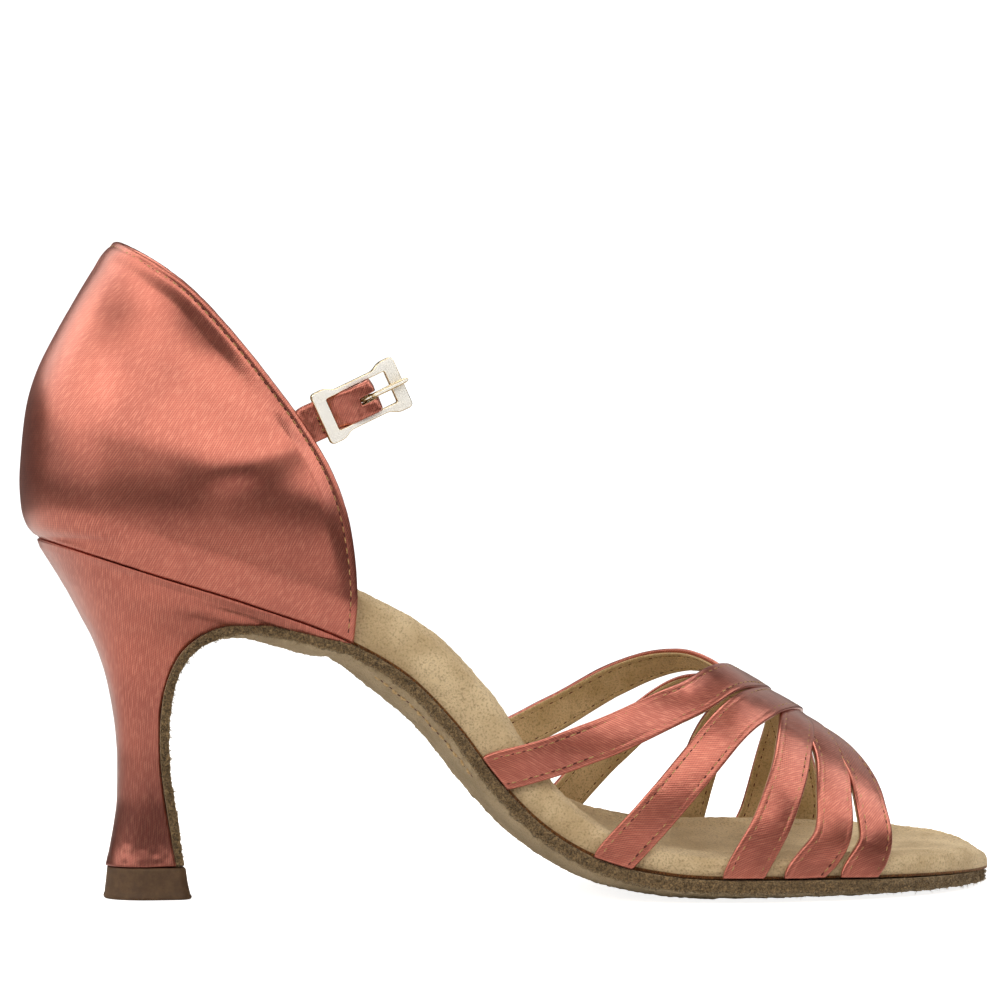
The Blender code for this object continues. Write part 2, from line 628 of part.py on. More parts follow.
def buckle_axes():
    """Turn from the buckle's own axes to the shoe's: long axis, height, outward."""
    rise, turn = math.radians(BUCKLE_RISE), math.radians(BUCKLE_TURN)
    long_axis = Vector((math.cos(rise) * math.cos(turn), math.cos(rise) * math.sin(turn),
                        math.sin(rise)))
    outward = Vector((math.sin(turn), -math.cos(turn), 0.0))
    height = outward.cross(long_axis)
    return Matrix((long_axis, height, outward)).transposed()


def from_buckle(x, y, z):
    """A point given in the buckle's own axes, in the shoe's."""
    return Vector(BUCKLE_CENTRE) + buckle_axes() @ Vector((x, y, z))


def ribbon_rings(path, axes, widths, wall):
    """Rings of a band swept along points, with the direction and size of its width at each."""
    rings = []
    for i, (point, axis, width) in enumerate(zip(path, axes, widths)):
        along = (path[min(len(path) - 1, i + 1)] - path[max(0, i - 1)]).normalized()
        normal = along.cross(axis).normalized()
        inner = point - normal * (wall * 0.5)
        rings.append(band_ring(inner, axis * (width * 0.5), normal, wall))
    return rings


def inside_counter(x, z, side, depth):
    """A point a depth in from the counter's outer face; side is 1 medial, -1 lateral, 0 back."""
    back = np.array(COUNTER_BACK_ROWS)
    back_x = float(read_rows(back[:, 0], back[:, 1], z, monotone=False)[0])
    if side == 0:
        return Vector((back_x + depth, 0.0, z))
    ahead = max(0.3, x - back_x)
    x_low, half_low = counter_point(ahead - 0.2, z)
    x_high, half_high = counter_point(ahead + 0.2, z)
    outward = Vector((half_low - half_high, (x_high - x_low) * side, 0.0)).normalized()
    x_here, half = counter_point(ahead, z)
    y = float(feather("mid", x_here)[0]) + side * half
    return Vector((x_here, y, z)) - outward * depth


def wall_axis(x, z, side, depth):
    """Direction straight up the counter's wall at a point."""
    low = inside_counter(x, z - 3.0, side, depth)
    return (inside_counter(x, z + 3.0, side, depth) - low).normalized()


def buckle_tab(collection, cutters, material):
    """Satin tab sewn inside the lateral quarter, looped over the buckle's middle bar."""
    turn_r = MIDDLE_BAR_R + GAP + TAB_WALL * 0.5
    behind = -(BUCKLE_PLATE * 0.5 + GAP + TAB_WALL * 0.5)
    height_axis = (from_buckle(0, 1, 0) - from_buckle(0, 0, 0)).normalized()
    root_depth = UPPER_WALL + GAP + TAB_WALL * 0.5
    root_z = from_buckle(-24.0, 0.0, behind).z
    path = []
    axes = []
    widths = []
    for x, z in ((TAB_ROOT_X, root_z - 1.5), (TAB_ROOT_X + 5.0, root_z + 0.5)):
        path.append(inside_counter(x, z, -1, root_depth))
        axes.append(wall_axis(x, z, -1, root_depth))
        widths.append(TAB_WIDTH)
    course = ((-13.2, behind - 0.5), (-10.6, behind - 0.1), (-8.0, behind), (-6.2, -1.2),
              (-4.0, 0.4), (-1.6, 1.5))
    for x, z in course:
        path.append(from_buckle(x, 0.0, z))
        widths.append(TAB_WIDTH if x < -9.0 else TAB_NECK)
    for degrees in (90, 55, 20, -20, -55, -90):
        turn = math.radians(degrees)
        path.append(from_buckle(MIDDLE_BAR_X + turn_r * math.cos(turn), 0.0,
                                turn_r * math.sin(turn)))
    path.append(from_buckle(MIDDLE_BAR_X - 2.4, 0.0, -turn_r))
    path.append(from_buckle(MIDDLE_BAR_X - 4.6, 0.0, -turn_r - 0.1))
    axes += [height_axis] * (len(path) - len(axes))
    widths += [TAB_NECK] * (len(path) - len(widths))
    rings = ribbon_rings(path, axes, widths, TAB_WALL)
    tab = add_object("buckle_tab", loft_mesh("buckle_tab", rings), material, collection)
    bpy.ops.mesh.primitive_cube_add(size=1.0)
    slot = bpy.context.object
    slot.name = "tab_slot"
    slot.scale = Vector((SLOT_LENGTH, 2 * SLOT_HALF, 7.0)) * MM
    slot.rotation_euler = buckle_axes().to_euler()
    slot.location = from_buckle(MIDDLE_BAR_X + SLOT_AHEAD, 0.0, 0.6) * MM
    move_to(slot, cutters)
    unite(tab, slot, "DIFFERENCE")
    return tab


def rounded_outline(corners, radius, steps=3):
    """A closed outline with its corners rounded off."""
    points = []
    count = len(corners)
    for i, corner in enumerate(corners):
        here = Vector(corner)
        before = (Vector(corners[i - 1]) - here).normalized() * radius
        after = (Vector(corners[(i + 1) % count]) - here).normalized() * radius
        for t in np.linspace(0.0, 1.0, steps):
            points.append(here + before * (1 - t) ** 2 + after * t**2)
    return points


def buckle_frame(collection, cutters, material):
    """Frame of the buckle with its middle bar, cast in one piece."""
    half_long, half_high = BUCKLE_LENGTH / 2, BUCKLE_HEIGHT / 2
    bar_end = half_long - END_BAR
    waist = half_high - RAIL_WAIST
    outer = rounded_outline((
        (-half_long, -half_high), (-bar_end + 0.4, -half_high), (-bar_end + 2.6, -waist),
        (bar_end - 2.6, -waist), (bar_end - 0.4, -half_high), (half_long, -half_high),
        (half_long, half_high), (bar_end - 0.4, half_high), (bar_end - 2.6, waist),
        (-bar_end + 2.6, waist), (-bar_end + 0.4, half_high), (-half_long, half_high)), 0.9)
    inner = rounded_outline((
        (-bar_end, -waist + RAIL), (-bar_end, waist - RAIL), (bar_end, waist - RAIL),
        (bar_end, -waist + RAIL)), 0.8)
    curve = bpy.data.curves.new("frame_outline", "CURVE")
    curve.dimensions = "2D"
    curve.fill_mode = "BOTH"
    curve.extrude = BUCKLE_PLATE * 0.5 * MM
    curve.render_resolution_u = 0
    for outline in (outer, inner):
        spline = curve.splines.new("POLY")
        spline.points.add(len(outline) - 1)
        spline.use_cyclic_u = True
        for knot, point in zip(spline.points, outline):
            knot.co = (point.x * MM, point.y * MM, 0.0, 1.0)
    outline = bpy.data.objects.new("frame_outline", curve)
    collection.objects.link(outline)
    frame = mesh_from_curve(outline, "buckle_frame", material, collection)
    frame.matrix_world = buckle_place(0.0)
    bpy.ops.mesh.primitive_cylinder_add(vertices=12, radius=MIDDLE_BAR_R * MM,
                                        depth=2 * (waist - RAIL * 0.5) * MM)
    bar = bpy.context.object
    bar.name = "middle_bar"
    bar.matrix_world = (buckle_place(MIDDLE_BAR_X)
                        @ Matrix.Rotation(math.radians(90), 4, "X"))
    move_to(bar, cutters)
    unite(frame, bar)
    return frame


def buckle_place(x):
    """World matrix at a distance along the buckle's long axis, for meshes in metres."""
    place = buckle_axes().to_4x4()
    place.translation = from_buckle(x, 0.0, 0.0) * MM
    return place


def mesh_from_curve(source, name, material, collection):
    """Turn a curve object into a welded mesh object of the given name."""
    bpy.context.view_layer.update()
    evaluated = source.evaluated_get(bpy.context.evaluated_depsgraph_get())
    mesh = bpy.data.meshes.new_from_object(evaluated)
    mesh.name = name
    bm = bmesh.new()
    bm.from_mesh(mesh)
    bmesh.ops.remove_doubles(bm, verts=bm.verts[:], dist=0.00001)
    bmesh.ops.recalc_face_normals(bm, faces=bm.faces[:])
    bm.to_mesh(mesh)
    bm.free()
    mesh.materials.clear()
    bpy.data.objects.remove(source, do_unlink=True)
    return add_object(name, mesh, material, collection)


def buckle_prong(collection, cutters, material):
    """Prong with an eye round the middle bar; its origin is on the bar's axis."""
    eye_r = MIDDLE_BAR_R + GAP + EYE_TUBE
    rest = BUCKLE_PLATE * 0.5 + GAP + PRONG_R
    reach = PRONG_REACH - MIDDLE_BAR_X
    curve = bpy.data.curves.new("shank", "CURVE")
    curve.dimensions = "3D"
    curve.bevel_depth = PRONG_R * MM
    curve.bevel_resolution = 2
    curve.use_fill_caps = True
    curve.render_resolution_u = 0
    spline = curve.splines.new("POLY")
    course = ((0.9, eye_r - 0.45, 0.8), (2.0, eye_r + 0.1, 1.0), (3.2, rest, 1.0),
              (reach - 1.2, rest, 1.0), (reach - 0.4, rest - 0.05, 0.85), (reach, rest - 0.1, 0.5))
    spline.points.add(len(course) - 1)
    for knot, (x, z, size) in zip(spline.points, course):
        knot.co = (x * MM, 0.0, z * MM, 1.0)
        knot.radius = size
    shank = bpy.data.objects.new("shank", curve)
    collection.objects.link(shank)
    prong = mesh_from_curve(shank, "buckle_prong", material, collection)
    prong.matrix_world = buckle_place(MIDDLE_BAR_X)
    bpy.ops.mesh.primitive_torus_add(major_radius=eye_r * MM, minor_radius=EYE_TUBE * MM,
                                     major_segments=16, minor_segments=8)
    eye = bpy.context.object
    eye.name = "prong_eye"
    eye.matrix_world = (buckle_place(MIDDLE_BAR_X)
                        @ Matrix.Rotation(math.radians(90), 4, "X"))
    move_to(eye, cutters)
    unite(prong, eye)
    return prong


# ---------------------------------------------------------------- the part
def clear_scene():
    """Remove everything that a new file holds."""
    for piece in list(bpy.data.objects):
        bpy.data.objects.remove(piece, do_unlink=True)
    for mesh in list(bpy.data.meshes):
        bpy.data.meshes.remove(mesh)


def new_collection(name, parent=None):
    """A collection inside another one, or inside the scene's own."""
    collection = bpy.data.collections.new(name)
    holder = parent or bpy.context.scene.collection
    holder.children.link(collection)
    return collection


def main():
    """Build every piece of the shoe."""
    clear_scene()
    shoe = new_collection(COLLECTION)
    cutters = new_collection("cutters")
    satin = paint("satin", (0.52, 0.13, 0.085), 0.35)
    suede = paint("insole_suede", (0.60, 0.47, 0.29), 0.9)
    chrome_leather = paint("sole_suede", (0.27, 0.20, 0.13), 0.95)
    rubber = paint("top_piece_rubber", (0.11, 0.07, 0.04), 0.6)
    gilt = paint("pale_gold", (0.85, 0.72, 0.52), 0.25, metallic=1.0)
    outsole(shoe, chrome_leather)
    insole(shoe, suede)
    heel(shoe, satin)
    top_piece(shoe, rubber)
    heel_counter(shoe, satin)
    vamp_straps(shoe, cutters, satin)
    buckle_tab(shoe, cutters, satin)
    buckle_frame(shoe, cutters, gilt)
    buckle_prong(shoe, cutters, gilt)


main()
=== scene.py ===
"""Dressed model of an open-toed latin dance shoe for the right foot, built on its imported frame.

Axes: +X towards the toe, +Y towards the inner (medial) side, -Y towards the outer (lateral) side,
+Z up.  The origin is the centre of the heel's top piece, on the floor.  Sizes below are in
millimetres and become metres as each mesh is made.
"""

import logging
import math
from dataclasses import dataclass, field
from enum import Enum

import bmesh
import bpy
import numpy as np
from mathutils import Matrix, Vector, kdtree
from numpy.typing import NDArray


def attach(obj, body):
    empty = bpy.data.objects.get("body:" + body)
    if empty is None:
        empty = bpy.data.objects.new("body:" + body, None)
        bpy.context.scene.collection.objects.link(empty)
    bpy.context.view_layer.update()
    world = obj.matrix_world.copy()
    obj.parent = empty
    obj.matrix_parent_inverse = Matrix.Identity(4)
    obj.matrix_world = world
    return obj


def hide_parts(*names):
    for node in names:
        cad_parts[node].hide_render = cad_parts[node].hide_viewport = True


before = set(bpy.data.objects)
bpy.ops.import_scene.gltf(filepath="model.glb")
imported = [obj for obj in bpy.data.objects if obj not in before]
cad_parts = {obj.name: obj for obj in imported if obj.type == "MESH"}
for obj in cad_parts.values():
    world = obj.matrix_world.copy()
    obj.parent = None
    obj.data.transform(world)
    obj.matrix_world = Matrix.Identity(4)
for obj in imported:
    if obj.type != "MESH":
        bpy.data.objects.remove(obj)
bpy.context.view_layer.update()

Array = NDArray[np.float64]
Colour = tuple[float, float, float]
Spot = tuple[float, float, float]
Pairs = tuple[tuple[float, float], ...]
Piece = bpy.types.Object
Material = bpy.types.Material
Socket = bpy.types.NodeSocket
log = logging.getLogger("latin_shoe")

MM = 0.001  # metres in a millimetre
GAP = 0.3  # clearance in mm between pieces that don't touch
CLOTH_MAP = "cloth"  # name of the map from a piece to its flat cloth


# ---- curves and noise
def read_rows(knots: Array, values: Array, where: Array | float, monotone: bool = True) -> Array:
    """Read a column between its rows by a smooth cubic.

    Args:
        knots: Place of each row.
        values: Value of each row.
        where: Places to read.
        monotone: Never overshoot the rows.

    Returns:
        The values at the places.
    """
    knots = np.asarray(knots, float)
    values = np.asarray(values, float)
    where = np.atleast_1d(np.asarray(where, float))
    step = np.diff(knots)
    rise = np.diff(values) / step
    slope = np.empty_like(values)
    slope[0], slope[-1] = rise[0], rise[-1]
    if monotone:
        same = rise[:-1] * rise[1:] > 0
        near = np.where(same, rise[:-1], 1.0)
        far = np.where(same, rise[1:], 1.0)
        weight_a = 2 * step[1:] + step[:-1]
        weight_b = step[1:] + 2 * step[:-1]
        mean = (weight_a + weight_b) / (weight_a / near + weight_b / far)
        slope[1:-1] = np.where(same, mean, 0.0)
    else:
        slope[1:-1] = (rise[:-1] * step[1:] + rise[1:] * step[:-1]) / (step[:-1] + step[1:])
    row = np.clip(np.searchsorted(knots, where) - 1, 0, len(step) - 1)
    width = step[row]
    t = np.clip((where - knots[row]) / width, 0.0, 1.0)
    return ((2 * t**3 - 3 * t**2 + 1) * values[row] + (t**3 - 2 * t**2 + t) * width * slope[row]
            + (3 * t**2 - 2 * t**3) * values[row + 1] + (t**3 - t**2) * width * slope[row + 1])


def read_pairs(rows: Pairs, where: Array | float, monotone: bool = True) -> Array:
    """Read the second column of a table by its first."""
    table = np.array(rows)
    return read_rows(table[:, 0], table[:, 1], where, monotone)


def ease(low: float, high: float, value: Array | float) -> Array:
    """A smooth rise from 0 at low to 1 at high."""
    t = np.clip((np.asarray(value, float) - low) / (high - low), 0.0, 1.0)
    return t * t * (3.0 - 2.0 * t)


def rounded_end(distance: Array | float, length: Array | float, power: float = 2.15) -> Array:
    """Share of the full width at a distance from a rounded end of the given length."""
    t = np.clip(np.asarray(distance, float) / length, 0.0, 1.0)
    return (1.0 - (1.0 - t) ** power) ** (1.0 / power)


def chord_knots(points: Array) -> Array:
    """Distance of each point along its line."""
    steps = np.linalg.norm(np.diff(points, axis=0), axis=1)
    return np.concatenate(([0.0], np.cumsum(steps)))


def round_line(points: Array, count: int) -> Array:
    """A smooth line through a few points, as evenly spaced points.

    Args:
        points: Points that the line goes through.
        count: Number of points wanted.

    Returns:
        The line's points.
    """
    points = np.asarray(points, float)
    knots = chord_knots(points)
    stops = np.linspace(0.0, knots[-1], count)
    return np.stack([read_rows(knots, points[:, i], stops, monotone=False)
                     for i in range(points.shape[1])], axis=1)


def unit(vectors: Array) -> Array:
    """Vectors scaled to a length of 1."""
    size = np.linalg.norm(vectors, axis=-1, keepdims=True)
    return vectors / np.maximum(size, 1e-12)


def cell_value(cells: Array, seed: int) -> Array:
    """A fixed number from -1 to 1 for each whole-numbered cell.

    Args:
        cells: Whole numbers, three for each cell.
        seed: Seed of the draw.

    Returns:
        A number for each cell.
    """
    n = (cells[..., 0] * 73856093) ^ (cells[..., 1] * 19349663) ^ (cells[..., 2] * 83492791)
    n = (n ^ (seed * 668265263)) & 0x7FFFFFFF
    n = ((n ^ (n >> 13)) * 1274126177) & 0x7FFFFFFF
    n = ((n ^ (n >> 16)) * 1103515245) & 0x7FFFFFFF
    return n / 0x3FFFFFFF - 1.0


def unevenness(points: Array, size: float, seed: int) -> Array:
    """Soft unevenness from -1 to 1 over points, with lumps of a size in mm.

    Args:
        points: Points to read.
        size: Size of the lumps.
        seed: Seed of the draw.

    Returns:
        A height for each point.
    """
    where = points / size
    low = np.floor(where).astype(np.int64)
    t = where - low
    t = t * t * (3.0 - 2.0 * t)
    total = np.zeros(points.shape[:-1])
    for corner in np.ndindex(2, 2, 2):
        step = np.array(corner)
        weight = np.prod(np.where(step == 1, t, 1.0 - t), axis=-1)
        total += weight * cell_value(low + step, seed)
    return total


@dataclass(frozen=True)
class Lumps:
    """Unevenness with a depth and a size in mm, and its own seed."""

    depth: float
    size: float
    seed: int

    def over(self, points: Array) -> Array:
        """Height of the lumps at points."""
        return self.depth * unevenness(points, self.size, self.seed)


def along_line(points: Array, knots: Array, stops: Array) -> Array:
    """Points at distances along a line that is straight between its own points."""
    return np.stack([np.interp(stops, knots, points[:, i]) for i in range(3)], axis=1)


def grid_normals(points: Array) -> Array:
    """Directions square to a grid of points."""
    return unit(np.cross(np.gradient(points, axis=1), np.gradient(points, axis=0)))


def search_tree(points: Array) -> kdtree.KDTree:
    """A tree that finds the nearest of some points.

    Args:
        points: Points to look among.

    Returns:
        The tree.
    """
    tree = kdtree.KDTree(len(points))
    for i, place in enumerate(points):
        tree.insert(place, i)
    tree.balance()
    return tree


# ---- meshes
@dataclass
class Skin:
    """Points and faces of one piece in mm, with a map of its cloth and a mark for its finish."""

    points: list[Array] = field(default_factory=list)
    faces: list[list[int]] = field(default_factory=list)
    cloth: list[Array] = field(default_factory=list)
    slots: list[Array] = field(default_factory=list)
    marks: list[Array] = field(default_factory=list)
    count: int = 0

    def grid(self, points: Array, cloth: Array | None = None, closed: bool = False,
             slot: int | Array = 0, mark: Array | float = 0.0) -> Array:
        """Add a grid of points.

        Args:
            points: Rows by columns of points.
            cloth: Place of each point on the flat cloth, with one more column if closed.
            closed: Join the last column to the first.
            slot: Material slot, for all faces or each face.
            mark: Mark for the finish, for all points or each point.

        Returns:
            The number of each point.
        """
        rows, columns = points.shape[:2]
        index = self.count + np.arange(rows * columns).reshape(rows, columns)
        if cloth is None:
            cloth = np.zeros((rows, columns + closed, 2))
        left = index if closed else index[:, :-1]
        right = np.roll(index, -1, axis=1) if closed else index[:, 1:]
        quads = np.stack((left[:-1], right[:-1], right[1:], left[1:]), axis=-1).reshape(-1, 4)
        low, high = cloth[:, :-1], cloth[:, 1:]
        corners = np.stack((low[:-1], high[:-1], high[1:], low[1:]), axis=-2).reshape(-1, 2)
        self.points.append(points.reshape(-1, 3))
        self.faces += quads.tolist()
        self.cloth.append(corners)
        self.slots.append(np.broadcast_to(slot, left[:-1].shape).reshape(-1))
        self.marks.append(np.broadcast_to(mark, (rows, columns)).reshape(-1))
        self.count += rows * columns
        return index

    def strip(self, left: Array, right: Array, slot: int = 0) -> None:
        """Join two lines of points with a strip of faces.

        Args:
            left: Numbers of the first line's points.
            right: Numbers of the second line's points.
            slot: Material slot.
        """
        quads = np.stack((left[:-1], right[:-1], right[1:], left[1:]), axis=-1)
        self.faces += quads.tolist()
        self.cloth.append(np.zeros((len(quads) * 4, 2)))
        self.slots.append(np.full(len(quads), slot))

    def cap(self, ring: Array, cloth: Array | None = None, slot: int = 0) -> None:
        """Close a ring of points with one face.

        Args:
            ring: Numbers of the ring's points.
            cloth: Place of each corner on the flat cloth.
            slot: Material slot.
        """
        self.faces.append([int(i) for i in ring])
        self.cloth.append(np.zeros((len(ring), 2)) if cloth is None else cloth)
        self.slots.append(np.array([slot]))

    def tube(self, rings: Array, cloth: Array | None = None, mark: Array | float = 0.0) -> None:
        """Add a tube closed at both ends.

        Args:
            rings: Rings of points.
            cloth: Place of each point on the flat cloth.
            mark: Mark for the finish.
        """
        index = self.grid(rings, cloth, closed=True, mark=mark)
        self.cap(index[0][::-1])
        self.cap(index[-1])

    def build(self, name: str, finishes: list[Material], weld: bool = False) -> Piece:
        """Make the piece.

        Args:
            name: Name of the piece.
            finishes: Its materials, one for each slot.
            weld: Join points that lie on one another.

        Returns:
            The linked object.
        """
        mesh = bpy.data.meshes.new(name)
        mesh.from_pydata(np.concatenate(self.points) * MM, [], self.faces)
        layer = mesh.uv_layers.new(name=CLOTH_MAP)
        layer.uv.foreach_set("vector", np.concatenate(self.cloth).astype(np.float32).ravel())
        mark = mesh.attributes.new("mark", "FLOAT", "POINT")
        mark.data.foreach_set("value", np.concatenate(self.marks).astype(np.float32))
        mesh.polygons.foreach_set("material_index", np.concatenate(self.slots).astype(np.int32))
        work = bmesh.new()
        work.from_mesh(mesh)
        if weld:
            bmesh.ops.remove_doubles(work, verts=work.verts[:], dist=2e-6)
        bmesh.ops.dissolve_degenerate(work, edges=work.edges[:], dist=1e-7)
        bmesh.ops.recalc_face_normals(work, faces=work.faces[:])
        work.to_mesh(mesh)
        work.free()
        mesh.shade_smooth()
        for finish in finishes:
            mesh.materials.append(finish)
        return set_down(name, mesh)


def set_down(name: str, data: bpy.types.ID) -> Piece:
    """Make an object of some data and link it.

    Args:
        name: Name of the object.
        data: Its mesh, curve, light or camera.

    Returns:
        The linked object.
    """
    made = bpy.data.objects.new(name, data)
    bpy.context.scene.collection.objects.link(made)
    return made


def report(piece: Piece, body: str, slot: str, *nodes: str) -> Piece:
    """Let a finished piece ride on a body and hide the nodes of the frame that it stands for.

    Args:
        piece: The finished piece.
        body: Body that carries it.
        slot: Not used.
        *nodes: Nodes of the frame that it stands for.

    Returns:
        The piece.
    """
    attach(piece, body)
    if nodes:
        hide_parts(*nodes)
    log.info("%s: %d faces on %s", piece.name, len(piece.data.polygons), body)
    return piece


@dataclass
class Seam:
    """Rows of thread stitches with a dark bead between each and the next: painted shade of the
    needle hole.
    """

    pitch: float = 2.7
    thread: float = 0.13
    hole: float = 0.2
    hole_share: float = 0.34
    sides: int = 6
    dips: tuple[float, ...] = (-0.16, 0.02, 0.07, 0.02, -0.16)
    thread_shape: tuple[float, ...] = (0.5, 1.0, 1.0, 1.0, 0.5)
    hole_shape: tuple[float, ...] = (0.35, 1.0, 1.0, 0.35)
    threads: Skin = field(default_factory=Skin)
    painted_hole_shades: Skin = field(default_factory=Skin)

    def bead(self, skin: Skin, centres: Array, normals: Array, radii: Array, flat: float) -> None:
        """Add one closed bead along a few points.

        Args:
            skin: Skin that takes the bead.
            centres: Points along its middle.
            normals: Outward direction at each.
            radii: Radius at each.
            flat: Share of the radius that stands out.
        """
        along = unit(np.gradient(centres, axis=0))
        across = unit(np.cross(normals, along))
        turn = np.linspace(0.0, 2 * math.pi, self.sides, endpoint=False)
        wide = np.cos(turn)[None, :, None] * radii[:, None, None]
        high = np.sin(turn)[None, :, None] * radii[:, None, None] * flat
        skin.tube(centres[:, None] + across[:, None] * wide + normals[:, None] * high)

    def sew(self, path: Array, normals: Array, start: float = 1.0) -> None:
        """Sew along a path.

        Args:
            path: Points in the bottom of the sewn groove.
            normals: Outward direction at each point.
            start: Distance from the path's start to the first stitch.
        """
        knots = chord_knots(path)
        count = int((knots[-1] - 2 * start) / self.pitch)
        for i in range(count):
            low = start + i * self.pitch
            gap = self.pitch * self.hole_share
            stops = low + np.linspace(0.0, self.pitch - gap, 5)
            centres, out = self.on_path(path, normals, knots, stops)
            centres = centres + out * np.array(self.dips)[:, None]
            self.bead(self.threads, centres, out, self.thread * np.array(self.thread_shape), 1.0)
            # Dark bead over the needle hole: painted shade.
            stops = low - gap * 1.05 + np.linspace(0.0, gap * 1.1, 4)
            centres, out = self.on_path(path, normals, knots, np.clip(stops, 0.0, knots[-1]))
            centres = centres + out * 0.02
            self.bead(self.painted_hole_shades, centres, out, self.hole * np.array(self.hole_shape), 0.3)

    @staticmethod
    def on_path(path: Array, normals: Array, knots: Array, stops: Array) -> tuple[Array, Array]:
        """Points and directions at distances along a path."""
        return along_line(path, knots, stops), unit(along_line(normals, knots, stops))

    def build(self, name: str, body: str, slot: str, thread: Material, hole: Material) -> None:
        """Make the stitches and the dark beads of painted needle-hole shade as two pieces."""
        report(self.threads.build(name + "_stitches", [thread]), body, slot)
        report(self.painted_hole_shades.build(name + "_needle_holes", [hole]), body, slot)


# ---- finishes
class Nodes:
    """A material's node tree with short calls for what the finishes need."""

    def __init__(self, name: str) -> None:
        """Start an empty material.

        Args:
            name: Name of the material.
        """
        self.material = bpy.data.materials.new(name)
        self.material.use_nodes = True
        self.tree = self.material.node_tree
        self.shader = self.tree.nodes["Principled BSDF"]

    def add(self, kind: str, **settings: object) -> bpy.types.Node:
        """Add a node with its settings.

        Args:
            kind: Type of the node.
            **settings: Its settings by name.

        Returns:
            The node.
        """
        node = self.tree.nodes.new(kind)
        for name, value in settings.items():
            setattr(node, name, value)
        return node

    def feed(self, socket: Socket, value: object) -> None:
        """Link an output to a socket, or set its number.

        Args:
            socket: Socket to feed.
            value: An output, a number or a colour.
        """
        if isinstance(value, Socket):
            self.tree.links.new(value, socket)
        elif isinstance(value, tuple) and len(value) == 3 and socket.type == "RGBA":
            socket.default_value = (*value, 1.0)
        else:
            socket.default_value = value

    def math(self, operation: str, *values: object) -> Socket:
        """One sum on outputs and numbers.

        Args:
            operation: Name of the sum.
            *values: Outputs or numbers.

        Returns:
            Its result.
        """
        node = self.add("ShaderNodeMath", operation=operation)
        for socket, value in zip(node.inputs, values):
            self.feed(socket, value)
        return node.outputs[0]

    def times(self, value: object, factor: object) -> Socket:
        """One value times another."""
        return self.math("MULTIPLY", value, factor)

    def plus(self, value: object, other: object) -> Socket:
        """The sum of two values."""
        return self.math("ADD", value, other)

    def mix(self, share: object, low: object, high: object) -> Socket:
        """A colour between two colours.

        Args:
            share: Share of the second colour.
            low: First colour.
            high: Second colour.

        Returns:
            The mixed colour.
        """
        node = self.add("ShaderNodeMix", data_type="RGBA")
        self.feed(node.inputs[0], share)
        self.feed(node.inputs[6], low)
        self.feed(node.inputs[7], high)
        return node.outputs[2]

    def span(self, value: object, low: float, high: float, to_low: float = 0.0,
             to_high: float = 1.0) -> Socket:
        """A smooth step from one range to another.

        Args:
            value: Value to read.
            low: Where the step starts.
            high: Where it ends.
            to_low: Result at the start.
            to_high: Result at the end.

        Returns:
            The stepped value.
        """
        node = self.add("ShaderNodeMapRange", interpolation_type="SMOOTHSTEP")
        for socket, number in zip(node.inputs, (value, low, high, to_low, to_high)):
            self.feed(socket, number)
        return node.outputs[0]

    def place(self) -> Socket:
        """Place on the shoe, in metres."""
        return self.add("ShaderNodeTexCoord").outputs["Object"]

    def cloth(self) -> tuple[Socket, Socket]:
        """Place on the flat cloth in mm: across and along.

        Returns:
            Both distances.
        """
        split = self.add("ShaderNodeSeparateXYZ")
        self.feed(split.inputs[0], self.add("ShaderNodeUVMap", uv_map=CLOTH_MAP).outputs[0])
        return split.outputs[0], split.outputs[1]

    def join(self, x: object, y: object, z: object = 0.0) -> Socket:
        """A vector from three numbers.

        Args:
            x: First number.
            y: Second number.
            z: Third number.

        Returns:
            The vector.
        """
        node = self.add("ShaderNodeCombineXYZ")
        for socket, value in zip(node.inputs, (x, y, z)):
            self.feed(socket, value)
        return node.outputs[0]

    def noise(self, where: object, scale: float, detail: float = 2.0, rough: float = 0.5) -> Socket:
        """Noise from 0 to 1.

        Args:
            where: Place to read.
            scale: Lumps for each unit of place.
            detail: Finer layers.
            rough: Strength of the finer layers.

        Returns:
            The noise.
        """
        node = self.add("ShaderNodeTexNoise")
        for name, value in (("Vector", where), ("Scale", scale), ("Detail", detail),
                            ("Roughness", rough)):
            self.feed(node.inputs[name], value)
        return node.outputs[0]

    def mark(self) -> Socket:
        """The piece's own mark."""
        return self.add("ShaderNodeAttribute", attribute_name="mark").outputs["Fac"]

    def bump(self, height: object, depth: float, strength: float) -> Socket:
        """Relief of a depth in mm.

        Args:
            height: Height from 0 to 1.
            depth: Depth in mm.
            strength: Share of the relief.

        Returns:
            The bent direction.
        """
        node = self.add("ShaderNodeBump")
        node.inputs["Strength"].default_value = strength
        node.inputs["Distance"].default_value = depth * MM
        self.feed(node.inputs["Height"], height)
        return node.outputs[0]

    def finish(self, **values: object) -> Material:
        """Feed the shader's sockets by name, with _ for a space.

        Args:
            **values: Outputs, numbers or colours.

        Returns:
            The material.
        """
        for name, value in values.items():
            self.feed(self.shader.inputs[name.replace("_", " ")], value)
        return self.material


class Weave(Enum):
    """Direction of the satin's fine ribs, in degrees from across the piece."""

    DIAGONAL = 32.0
    BACK_DIAGONAL = -48.0
    UPRIGHT = 3.0


